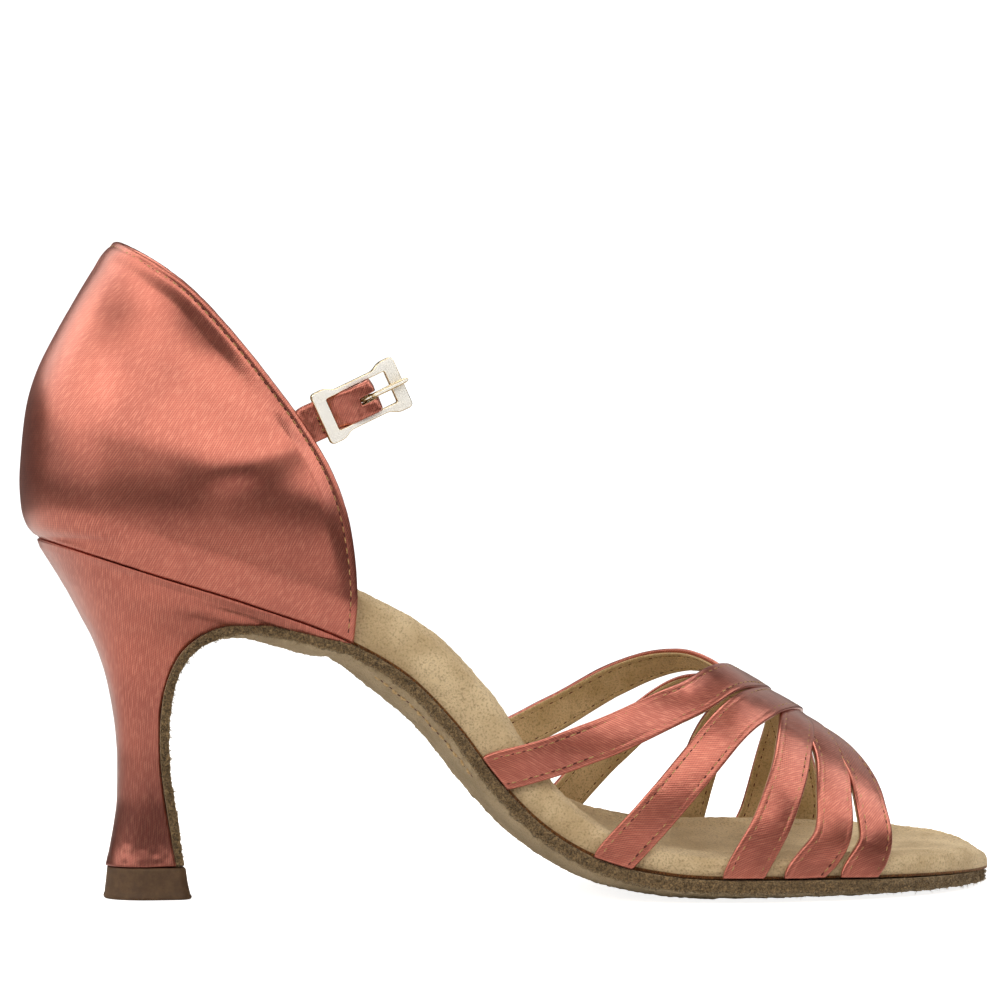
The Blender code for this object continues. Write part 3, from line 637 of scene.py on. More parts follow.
@dataclass(frozen=True)
class Satin:
    """Copper rose satin with a fine twill; painted sheen on its floats, painted shade in the
    twill's hollows and, where set, towards the foot.
    """

    name: str
    weave: Weave
    pitch: float = 0.5
    deep: Colour = (0.45, 0.120, 0.080)
    fair: Colour = (0.57, 0.165, 0.110)
    # Painted sheen colour, laid on the float streaks.
    thread: Colour = (0.82, 0.33, 0.23)
    # Painted shade towards the foot: share of the colour kept at the foot, and the heights in
    # metres over which it fades in.
    painted_foot_shade: float = 1.0
    painted_foot_shade_heights: tuple[float, float] = (0.025, 0.062)
    pick_pitch: float = 0.62
    drift: float = 0.12
    # Strength of the painted sheen on the floats.
    painted_sheen_share: float = 0.4
    # Strength of the painted shade in the twill's hollows.
    painted_hollow_shade_share: float = 0.45
    twill_depth: float = 0.05

    def make(self) -> Material:
        """Make the material.

        Returns:
            The material.
        """
        n = Nodes(self.name)
        across, along = n.cloth()
        angle = math.radians(self.weave.value)
        course = n.plus(n.times(across, math.cos(angle)), n.times(along, math.sin(angle)))
        run = n.math("SUBTRACT", n.times(along, math.cos(angle)), n.times(across, math.sin(angle)))
        floats = n.noise(n.join(n.times(course, 2.6), n.times(run, 0.4)), 1.0, 1.0)
        drift = n.times(floats, self.drift)
        turns = n.times(n.plus(n.math("DIVIDE", course, self.pitch), drift), 2 * math.pi)
        rib = n.math("MULTIPLY_ADD", n.math("SINE", turns), 0.5, 0.5)
        beat = n.math("MULTIPLY_ADD", run, 2 * math.pi / self.pick_pitch, n.times(turns, 0.5))
        pick = n.math("MULTIPLY_ADD", n.math("SINE", beat), 0.5, 0.5)
        slub = n.noise(n.join(n.times(course, 0.9), n.times(run, 0.2)), 1.0, 1.0)
        broad = n.noise(n.place(), 60.0, 2.0)
        colour = n.mix(n.span(broad, 0.3, 0.7), self.deep, self.fair)
        # Painted sheen: streaks along the floats are lightened towards the sheen colour.
        lit = n.times(n.span(floats, 0.42, 0.70), self.painted_sheen_share)
        colour = n.mix(lit, colour, self.thread)
        # Painted shade: the twill's sunk hollows are darkened towards a darker copy of the deep
        # colour.
        sunk = n.times(n.math("SUBTRACT", 1.0, rib), n.math("MULTIPLY_ADD", pick, 0.6, 0.6))
        colour = n.mix(n.times(sunk, self.painted_hollow_shade_share), colour, tuple(0.42 * c for c in self.deep))
        height = n.plus(n.times(rib, 0.5), n.times(pick, 0.16))
        # Painted shade: the satin is darkened towards the foot, below the given heights.
        if self.painted_foot_shade < 1.0:
            level = n.add("ShaderNodeSeparateXYZ")
            n.feed(level.inputs[0], n.place())
            shade = n.span(level.outputs[2], *self.painted_foot_shade_heights, self.painted_foot_shade, 1.0)
            colour = n.mix(shade, (0.0, 0.0, 0.0), colour)
        rough = n.span(slub, 0.2, 0.8, 0.29, 0.33)
        grain = n.add("ShaderNodeTangent", direction_type="UV_MAP", uv_map=CLOTH_MAP).outputs[0]
        relief = n.bump(height, self.twill_depth, 0.45)
        return n.finish(Base_Color=colour, Roughness=rough, Metallic=0.86, Anisotropic=0.5,
                        Tangent=grain, Sheen_Weight=0.08, Sheen_Roughness=0.35,
                        Sheen_Tint=(1.0, 0.72, 0.66), Coat_Weight=0.8, Coat_Roughness=0.3,
                        Coat_IOR=1.7, Coat_Normal=relief, Normal=relief)


@dataclass(frozen=True)
class Suede:
    """Brushed suede whose nap lies this way and that."""

    name: str
    dark: Colour
    light: Colour
    speck: Colour
    joint: Colour
    nap: float = 0.16

    def make(self) -> Material:
        """Make the material; a mark of 1 takes the joint's colour.

        Returns:
            The material.
        """
        n = Nodes(self.name)
        where = n.place()
        cloudy = n.noise(where, 95.0, 3.0, 0.55)
        nap = n.noise(where, 2100.0, 3.0, 0.75)
        fine = n.noise(where, 4200.0, 2.0, 0.7)
        colour = n.mix(n.span(cloudy, 0.3, 0.7), self.dark, self.light)
        colour = n.mix(n.times(n.span(nap, 0.48, 0.66), 0.75), colour, self.speck)
        colour = n.mix(n.times(n.span(fine, 0.45, 0.7), 0.5), colour, self.light)
        joint = n.mix(n.span(nap, 0.38, 0.66), tuple(0.6 * c for c in self.joint),
                      tuple(1.9 * c for c in self.joint))
        colour = n.mix(n.span(n.mark(), 0.25, 0.75), colour, joint)
        height = n.plus(nap, n.times(fine, 0.5))
        return n.finish(Base_Color=colour, Roughness=0.95, Specular_IOR_Level=0.2,
                        Sheen_Weight=0.3, Sheen_Roughness=0.6, Sheen_Tint=(1.0, 0.93, 0.82),
                        Normal=n.bump(height, self.nap, 0.8))


@dataclass(frozen=True)
class Rubber:
    """Dull brown rubber of the top piece, scuffed."""

    name: str = "top_piece_rubber"
    dark: Colour = (0.095, 0.052, 0.026)
    light: Colour = (0.150, 0.090, 0.048)

    def make(self) -> Material:
        """Make the material.

        Returns:
            The material.
        """
        n = Nodes(self.name)
        where = n.place()
        scuff = n.noise(where, 420.0, 4.0, 0.7)
        colour = n.mix(n.span(scuff, 0.35, 0.75), self.dark, self.light)
        return n.finish(Base_Color=colour, Roughness=n.span(scuff, 0.3, 0.7, 0.5, 0.7),
                        Normal=n.bump(scuff, 0.05, 0.4))


@dataclass(frozen=True)
class Gilt:
    """Champagne plating with faint brush lines."""

    name: str
    plate: Colour
    shade: Colour
    metal: float
    rough: float

    def make(self) -> Material:
        """Make the material.

        Returns:
            The material.
        """
        n = Nodes(self.name)
        where = n.place()
        smear = n.noise(where, 260.0, 3.0, 0.6)
        fine = n.noise(where, 3200.0, 2.0, 0.5)
        colour = n.mix(n.span(smear, 0.4, 0.8), self.plate, self.shade)
        rough = n.span(smear, 0.3, 0.7, self.rough, self.rough + 0.08)
        return n.finish(Base_Color=colour, Roughness=rough, Metallic=self.metal,
                        Normal=n.bump(fine, 0.01, 0.3))


@dataclass(frozen=True)
class Thread:
    """Twisted sewing thread."""

    name: str
    dark: Colour
    light: Colour

    def make(self) -> Material:
        """Make the material.

        Returns:
            The material.
        """
        n = Nodes(self.name)
        twist = n.noise(n.place(), 3500.0, 1.0)
        colour = n.mix(n.span(twist, 0.35, 0.65), self.dark, self.light)
        return n.finish(Base_Color=colour, Roughness=0.6, Normal=n.bump(twist, 0.04, 0.5))


@dataclass
class Finishes:
    """Every material of the shoe."""

    counter_satin: Material
    heel_satin: Material
    strap_satin: Material
    footbed_suede: Material
    lining_suede: Material
    sole_suede: Material
    rubber: Material
    gilt: Material
    # Near-white copy of the plating for the buckle's flat faces: a painted highlight.
    gilt_face: Material
    thread: Material
    sole_thread: Material
    # Dark bead colour for the needle holes: painted shade.
    hole: Material

    @classmethod
    def mix(cls) -> "Finishes":
        """Make them all.

        Returns:
            The materials.
        """
        beige = Suede("footbed_suede", (0.57, 0.425, 0.250), (0.78, 0.620, 0.405),
                      (0.26, 0.165, 0.080), (0.20, 0.085, 0.026), 0.36)
        lining = Suede("lining_suede", (0.54, 0.380, 0.190), (0.78, 0.590, 0.350),
                       (0.22, 0.135, 0.055), (0.46, 0.33, 0.17), 0.36)
        sole = Suede("outsole_suede", (0.36, 0.265, 0.150), (0.52, 0.400, 0.250),
                     (0.22, 0.150, 0.078), (0.200, 0.138, 0.074), 0.34)
        return cls(
            counter_satin=Satin("counter_satin", Weave.DIAGONAL).make(),
            # The heel's satin carries painted shade, darkened to 76 % towards its foot.
            heel_satin=Satin("heel_satin", Weave.UPRIGHT, 0.48, painted_foot_shade=0.76).make(),
            strap_satin=Satin("strap_satin", Weave.BACK_DIAGONAL, 0.5).make(),
            footbed_suede=beige.make(),
            lining_suede=lining.make(),
            sole_suede=sole.make(),
            rubber=Rubber().make(),
            gilt=Gilt("pale_gold_plate", (0.86, 0.75, 0.55), (0.62, 0.50, 0.33), 1.0, 0.16).make(),
            # Near-white copy of the plating on the buckle's flat faces: a painted highlight.
            gilt_face=Gilt("gold_face_painted_highlight", (1.0, 0.985, 0.955), (0.98, 0.95, 0.89), 0.05,
                           0.22).make(),
            thread=Thread("golden_thread", (0.33, 0.20, 0.075), (0.56, 0.40, 0.19)).make(),
            sole_thread=Thread("sole_thread", (0.42, 0.28, 0.13), (0.60, 0.44, 0.25)).make(),
            # Painted shade of the needle holes.
            hole=Thread("painted_needle_hole_shade", (0.085, 0.022, 0.015), (0.14, 0.036, 0.024)).make(),
        )


# ---- the last
FEATHER_COLUMNS = ("x", "z", "mid", "half", "camber", "rim", "arch", "dish")
FEATHER_ROWS = (
    (-26.0, 84.6, 0.0, 23.8, 0.0, 7.0, 0.0, 1.5),
    (0.0, 76.2, 0.0, 23.9, 0.0, 7.0, 0.0, 1.5),
    (22.0, 69.2, -0.6, 23.2, 0.0, 8.0, 0.2, 1.5),
    (44.0, 60.9, -2.0, 21.8, 0.2, 12.0, 0.6, 1.5),
    (58.0, 52.9, -3.0, 21.3, 2.4, 11.8, 0.8, 1.5),
    (69.0, 41.9, -3.4, 21.8, 2.2, 11.2, 1.2, 1.5),
    (80.0, 27.4, -3.4, 23.6, 1.8, 10.0, 1.8, 1.5),
    (90.0, 17.4, -3.2, 26.3, 2.2, 8.6, 2.4, 1.8),
    (102.0, 10.3, -2.9, 30.0, 2.8, 7.2, 3.0, 2.4),
    (118.0, 6.6, -2.6, 35.0, 2.9, 6.2, 3.4, 3.2),
    (140.0, 5.6, -2.0, 38.0, 2.6, 5.6, 3.4, 3.4),
    (155.0, 5.4, -1.0, 37.2, 2.4, 5.6, 3.2, 3.2),
    (178.0, 4.7, 1.0, 33.0, 1.4, 5.8, 2.6, 1.8),
    (202.6, 4.1, 3.0, 29.0, 0.4, 5.6, 1.6, 0.2),
)
RIDGE_ROWS = (
    (70.0, 56.0), (100.0, 54.0), (120.0, 51.0), (131.0, 47.6), (142.0, 41.2), (155.0, 34.0),
    (165.0, 29.2), (175.0, 23.5), (190.0, 16.0),
)


class Course:
    """A table whose rows lie along a curve in the X-Z plane, read by distance along the curve."""

    def __init__(self, columns: tuple[str, ...], rows: tuple[tuple[float, ...], ...]) -> None:
        """Take the columns' names and the rows.

        Args:
            columns: Names of the columns, x and z among them.
            rows: Rows along the curve.
        """
        self.data = {name: np.array([row[i] for row in rows], float)
                     for i, name in enumerate(columns)}
        chord = np.hypot(np.diff(self.data["x"]), np.diff(self.data["z"]))
        self.knots = np.concatenate(([0.0], np.cumsum(chord)))
        self.length = float(self.knots[-1])

    def at(self, name: str, s: Array | float) -> Array:
        """One column at the distances s; the curve itself is rounder than the other columns."""
        return read_rows(self.knots, self.data[name], s, monotone=name not in ("x", "z"))

    def up(self, s: Array) -> tuple[Array, Array]:
        """Unit normals of the curve, on its foot side.

        Args:
            s: Distances along the curve.

        Returns:
            X and z of the normals.
        """
        ahead = min(0.5, self.length / 400)
        s = np.clip(s, ahead, self.length - ahead)
        dx = self.at("x", s + ahead) - self.at("x", s - ahead)
        dz = self.at("z", s + ahead) - self.at("z", s - ahead)
        size = np.hypot(dx, dz)
        sign = 1.0 if self.data["x"][-1] > self.data["x"][0] else -1.0
        return -sign * dz / size, sign * dx / size


@dataclass(frozen=True)
class Last:
    """The form that the shoe is made on: its bottom line and the top of its forefoot."""

    line: Course = Course(FEATHER_COLUMNS, FEATHER_ROWS)
    toe_x: float = 202.6
    heel_x: float = -26.0
    toe_round: float = 42.0
    heel_round: float = 26.0
    arch_in_sole: float = 0.4
    counter_inset: float = 2.1
    ridge_y: float = 3.0
    power: float = 2.25

    def feather(self, name: str, x: Array | float) -> Array:
        """A column of the bottom line at a distance x along the shoe."""
        return read_rows(self.line.data["x"], self.line.data[name], x, monotone=name != "z")

    def insole_half(self, x: Array) -> Array:
        """Half width of the insole, closed at both ends.

        Args:
            x: Distances along the shoe.

        Returns:
            The half widths.
        """
        ends = rounded_end(x - self.heel_x - self.counter_inset,
                           self.heel_round - self.counter_inset)
        return self.feather("half", x) * ends * rounded_end(self.toe_x + 1.0 - x, self.toe_round)

    def seat_half(self, x: Array) -> Array:
        """Half width of the heel seat and of the counter's foot."""
        ends = rounded_end(x - self.heel_x, self.heel_round)
        return (self.feather("half", x) + self.counter_inset) * ends

    def bottom_rise(self, across: Array | float, camber: Array | float,
                    arch: Array | float) -> Array:
        """Height of the bottom above its lateral line; across runs from -1 to 1."""
        return self.arch_in_sole * arch * (0.5 + 0.5 * across) ** 2 - camber * (1 - across**4)

    def point(self, x: Array, degrees: Array) -> Array:
        """Points on the forefoot, its walls at 0 and 180 degrees standing on the sole.

        Args:
            x: Distances along the shoe.
            degrees: Degrees round it.

        Returns:
            The points.
        """
        x, degrees = np.atleast_1d(x), np.atleast_1d(degrees)
        turn = np.radians(degrees)
        cos, sin = np.cos(turn), np.maximum(0.0, np.sin(turn))
        slope = self.feather("z", x + 0.5) - self.feather("z", x - 0.5)
        foot = 2.0 * GAP + self.bottom_rise(-cos, 0.0, self.feather("arch", x))
        foot = foot / np.hypot(1.0, slope)
        mid = self.feather("mid", x)
        height = read_pairs(RIDGE_ROWS, x)
        side = np.copysign(1.0, cos)
        reach = self.insole_half(x) + GAP + side * (self.ridge_y - mid)
        y = self.ridge_y - side * reach * np.abs(cos) ** (2.0 / self.power)
        z = self.feather("z", x) + foot + height * sin ** (2.0 / self.power)
        return np.stack((x - foot * slope, y, z), axis=-1)

    def normal(self, x: Array, degrees: Array) -> Array:
        """Outward directions of the forefoot.

        Args:
            x: Distances along the shoe.
            degrees: Degrees round it.

        Returns:
            The directions.
        """
        low = np.maximum(0.5, degrees - 1.5)
        high = np.minimum(179.5, degrees + 1.5)
        round_way = self.point(x, high) - self.point(x, low)
        middle = (low + high) / 2
        long_way = self.point(x + 1.0, middle) - self.point(x - 1.0, middle)
        return unit(np.cross(long_way, round_way))


# ---- footbed
@dataclass
class Footbed:
    """Padded suede insole with a rolled rim, from inside the counter to the toe."""

    last: Last
    finishes: Finishes
    rings: int = 500
    across: int = 150
    deepest_sag: float = 9.0
    clear: float = 0.1
    toe_over: float = 0.8
    grain: tuple[Lumps, ...] = (Lumps(0.2, 9.0, 3), Lumps(0.1, 4.0, 5), Lumps(0.16, 0.9, 7))
    inset: float = 0.12
    section: tuple[Spot, ...] = (
        (-0.975, 0.0, 0.0), (-1.0, 0.32, 0.0), (-0.99, 0.66, 0.0), (-0.945, 0.9, 0.0),
        (-0.87, 1.0, 0.0), (-0.72, 1.0, 0.45), (-0.4, 1.0, 0.9))

    def outline(self) -> Array:
        """Section over the footbed: side, height share and dish share at each point.

        Returns:
            The section's points.
        """
        half = np.array(self.section)
        over = np.vstack((half, (0.0, 1.0, 1.0), half[::-1] * (-1.0, 1.0, 1.0)))
        return round_line(over, self.across)

    def surface(self) -> tuple[Array, Array]:
        """Rows of points over the footbed, and height above the joint at each.

        Returns:
            The points and the heights.
        """
        line = self.last.line
        start = self.last.counter_inset
        share = np.linspace(0.0, 1.0, self.rings)
        share = np.where(share < 0.5, 0.5 * (2 * share) ** 1.5, 1 - 0.5 * (2 * (1 - share)) ** 1.5)
        stops = (start + share * (line.length + self.toe_over - start))[:, None]
        held = np.minimum(stops, line.length)
        nx, nz = line.up(stops)
        x, z, mid, camber, rim, arch, dish = (
            line.at(name, held) for name in ("x", "z", "mid", "camber", "rim", "arch", "dish"))
        x = x + np.maximum(0.0, stops - line.length)
        half = np.maximum(2.0, self.last.insole_half(x))
        squeeze = np.minimum(1.0, half / 20.0)
        rim = rim * (0.15 + 0.85 * rounded_end(self.last.toe_x + 1.0 - x, 12.0, 2.0))
        side, height, sunk = self.outline().T
        side, height = np.clip(side, -1.0, 1.0), np.clip(height, 0.0, 1.02)
        inner = self.last.arch_in_sole
        pad = (1.0 - inner) * arch * (0.5 + 0.5 * side) ** 1.5 * height
        base = self.last.bottom_rise(side, camber * squeeze * (1.0 - height), arch)
        lift = self.clear + base + rim * height + pad - dish * sunk * squeeze
        points = np.stack((x + nx * lift, mid + half * side + 0 * lift, z + nz * lift), axis=-1)
        return points, rim * height + pad + 0 * side

    def build(self) -> None:
        """Make the footbed."""
        points, above = self.surface()
        normals = grid_normals(points)
        out = ease(0.8, 2.2, above)[..., None]
        soft = sum(lumps.over(points) for lumps in self.grain) - self.inset
        toward = np.sign(np.sum(normals[:, self.across // 2] * (0.0, 0.0, 1.0)))
        points = points + normals * toward * soft[..., None] * out
        skin = Skin()
        joint = 1.0 - ease(0.35, 0.95, above)
        index = skin.grid(points, mark=joint)
        under = np.linspace(1.0, 0.0, 9)[None, 1:-1, None]
        low = points[:, :1] * (1 - under) + points[:, -1:] * under
        line = self.last.line
        stops = np.linspace(self.last.counter_inset, line.length, self.rings)
        sag = np.minimum(line.at("camber", stops), self.deepest_sag)
        low[..., 2] -= (sag[:, None] * 4 * (under * (1 - under))[0, :, 0][None, :]) * 0.9
        other = skin.grid(low, mark=1.0)
        skin.strip(index[:, -1], other[:, 0])
        skin.strip(other[:, -1], index[:, 0])
        for row in (0, -1):
            ring = np.concatenate((index[row], other[row]))
            skin.cap(ring if row else ring[::-1])
        piece = skin.build("footbed", [self.finishes.footbed_suede])
        report(piece, "shoe", "insole_suede", "insole")


# ---- outsole
@dataclass
class Outsole:
    """Suede sole under forefoot and waist that carries on down the heel's breast."""

    last: Last
    finishes: Finishes
    rings: int = 620
    ledge: float = 1.5
    fuzz: tuple[Lumps, ...] = (Lumps(0.26, 0.7, 11), Lumps(0.18, 2.2, 13))
    ragged: tuple[Lumps, ...] = (Lumps(0.02, 1.2, 17), Lumps(0.015, 4.0, 19))
    hairs: int = 9000
    joint_share: float = 0.85
    fibre_mark: float = 0.8
    floor_cut: float = 0.45
    seam_across: float = -0.83
    seam_reach: tuple[float, float] = (-74.0, -48.0)
    columns: tuple[str, ...] = ("x", "z", "mid", "half", "camber", "arch", "thick", "belly")
    thickness: tuple[tuple[float, ...], ...] = (
        (44.0, 2.8, 1.9), (58.0, 2.8, 1.4), (69.0, 2.9, 0.5), (80.0, 3.0, 0.0),
        (102.0, 3.2, 0.0), (118.0, 3.4, 0.0), (155.0, 3.4, 0.0), (178.0, 3.2, 0.0),
        (202.6, 2.7, 0.0))
    breast: tuple[tuple[float, ...], ...] = (
        (38.5, 62.3, -1.8, 22.8, 0.8, 0.4, 2.8, 1.9), (30.0, 64.4, -1.3, 21.6, 0.9, 0.2, 2.8, 1.4),
        (21.5, 65.4, -0.8, 19.6, 0.5, 0.0, 2.8, 1.0), (13.5, 63.6, -0.4, 17.0, 0.2, 0.0, 2.5, 0.4),
        (7.0, 58.6, 0.0, 13.8, 0.0, 0.0, 2.3, 0.0), (3.6, 51.5, 0.0, 10.8, 0.0, 0.0, 2.2, 0.0),
        (2.2, 42.5, 0.0, 8.6, 0.0, 0.0, 2.2, 0.0), (2.4, 31.0, 0.0, 7.2, 0.0, 0.0, 2.2, 0.0),
        (4.2, 18.0, 0.0, 7.0, 0.0, 0.0, 2.2, 0.0), (5.8, 8.0, 0.0, 7.6, 0.0, 0.0, 2.0, 0.0))
    wall: Pairs = (
        (-0.94, 0.0), (-0.985, 0.02), (-1.0, 0.14), (-1.0, 0.5), (-0.998, 0.78), (-0.985, 0.95),
        (-0.965, 1.0))

    def course(self) -> Course:
        """The sole's course from the toe along the bottom line and down the breast.

        Returns:
            The course.
        """
        line = self.last.line
        thick = np.array(self.thickness)
        start = float(line.knots[list(line.data["x"]).index(self.thickness[0][0])])
        rows = []
        for s in np.linspace(line.length, start, 40):
            row = {name: float(line.at(name, s)[0]) for name in self.columns[:6]}
            row["half"] += self.ledge
            depth = float(read_rows(thick[:, 0], thick[:, 1], row["x"])[0])
            belly = float(read_rows(thick[:, 0], thick[:, 2], row["x"])[0])
            rows.append((*row.values(), depth, belly))
        return Course(self.columns, (*rows, *self.breast))

    def section(self) -> Array:
        """Closed section from the lateral top edge round the bottom: across and depth share.

        Returns:
            The section's points.
        """
        wall = round_line(np.array(self.wall), 15)
        floor = np.linspace(-0.965, 0.965, 56)[1:-1]
        floor = np.stack((floor, np.ones_like(floor)), axis=1)
        top = np.linspace(0.94, -0.94, 14)[1:-1]
        top = np.stack((top, np.zeros_like(top)), axis=1)
        return np.vstack((wall, floor, wall[::-1] * (-1.0, 1.0), top))

    def surface(self) -> tuple[Array, Array]:
        """Rows of points round the sole, and the section.

        Returns:
            The points and the section.
        """
        course = self.course()
        share = np.linspace(0.0, 1.0, self.rings)
        share = np.where(share < 0.25, 0.25 * (4 * share) ** 1.5, share)
        stops = (share * course.length)[:, None]
        nx, nz = course.up(stops)
        x, z, mid, half, camber, arch, depth, belly = (
            course.at(name, stops) for name in self.columns)
        half = half * rounded_end(stops + 0.2, self.last.toe_round)
        drop = 0.6 * GAP * (1.0 - ease(38.0, 50.0, x))
        section = self.section()
        across, down = section.T
        rise = self.last.bottom_rise(across, camber, arch) - drop
        rise = rise - down * (depth + belly * (1.0 - across**2))
        points = np.stack((x + nx * rise, mid + half * across, z + nz * rise), axis=-1)
        return points, section

    def build(self) -> None:
        """Make the outsole and the row of stitches under its waist."""
        points, section = self.surface()
        out = unit(np.cross(np.roll(points, -1, axis=1) - np.roll(points, 1, axis=1),
                            np.gradient(points, axis=0)))
        centre = points.mean(axis=1, keepdims=True)
        out *= np.sign(np.sum(out * (points - centre), axis=-1, keepdims=True))
        shown = (section[:, 1] > 0.1)[None, :] * 1.0
        rough = sum(lumps.over(points) for lumps in self.fuzz)
        points = points + out * (shown * (rough - 0.1))[..., None]
        points[-1, :, 2] -= self.floor_cut
        points[..., 2] = np.maximum(points[..., 2], 0.0)
        ragged = sum(lumps.over(points) for lumps in self.ragged)
        edge = ease(0.955, 0.985, np.abs(section[:, 0])[None, :] + ragged)
        skin = Skin()
        skin.tube(points, mark=edge)
        report(skin.build("outsole_suede", [self.finishes.sole_suede]), "shoe", "sole_suede",
               "outsole")
        self.nap(points, out, section)
        seam = Seam(pitch=2.6, thread=0.42, hole=0.3, hole_share=0.3)
        column = int(np.argmin(np.abs(section[:, 0] - self.seam_across) + (section[:, 1] < 0.99)))
        path, normals = points[:, column], out[:, column]
        low, high = np.searchsorted(-path[:, 0], self.seam_reach)
        seam.sew(path[low:high:2], normals[low:high:2])
        seam.build("outsole", "shoe", "sole_suede", self.finishes.sole_thread, self.finishes.hole)

    def nap(self, points: Array, out: Array, section: Array) -> None:
        """Brush up short fibres along the cut edge of the suede.

        Args:
            points: Rows of points round the sole.
            out: Outward direction at each point.
            section: The section's points, across and depth share.
        """
        wall = np.flatnonzero((np.abs(section[:, 0]) > 0.955) & (section[:, 1] > 0.02))
        order = np.arange(self.hairs)
        draw = [cell_value(np.stack((order, order * 0 + k, order * 7 + 3), axis=-1), 61 + k)
                for k in range(7)]
        ring = ((draw[0] * 0.5 + 0.5) * (len(points) - 3)).astype(int) + 1
        column = wall[((draw[1] * 0.5 + 0.5) * (len(wall) - 1)).round().astype(int)]
        root = points[ring, column] - out[ring, column] * 0.1
        along = unit(points[ring + 1, column] - points[ring - 1, column])
        round_way = np.cross(out[ring, column], along)
        lean = unit(out[ring, column] + along * (draw[2] * 0.9)[:, None]
                    + round_way * (draw[3] * 0.7)[:, None])
        length = (0.6 + 0.7 * draw[4] ** 4 + 0.25 * draw[5])[:, None]
        bend = along * (draw[6] * 0.35)[:, None]
        stems = [root, root + lean * length * 0.5 + bend * 0.2, root + lean * length + bend]
        side = unit(np.cross(lean, along + 0.01))
        other = np.cross(lean, side)
        skin = Skin()
        turn = np.arange(3) * 2 * math.pi / 3
        for i in range(self.hairs):
            tube = np.array([stem[i] + (side[i] * math.cos(a) + other[i] * math.sin(a)) * size
                             for stem, size in zip(stems, (0.075, 0.06, 0.02)) for a in turn])
            upper = section[column[i], 1] < self.joint_share
            skin.tube(tube.reshape(3, 3, 3), mark=self.fibre_mark * float(upper))
        report(skin.build("outsole_fibres", [self.finishes.sole_suede]), "shoe", "sole_suede")


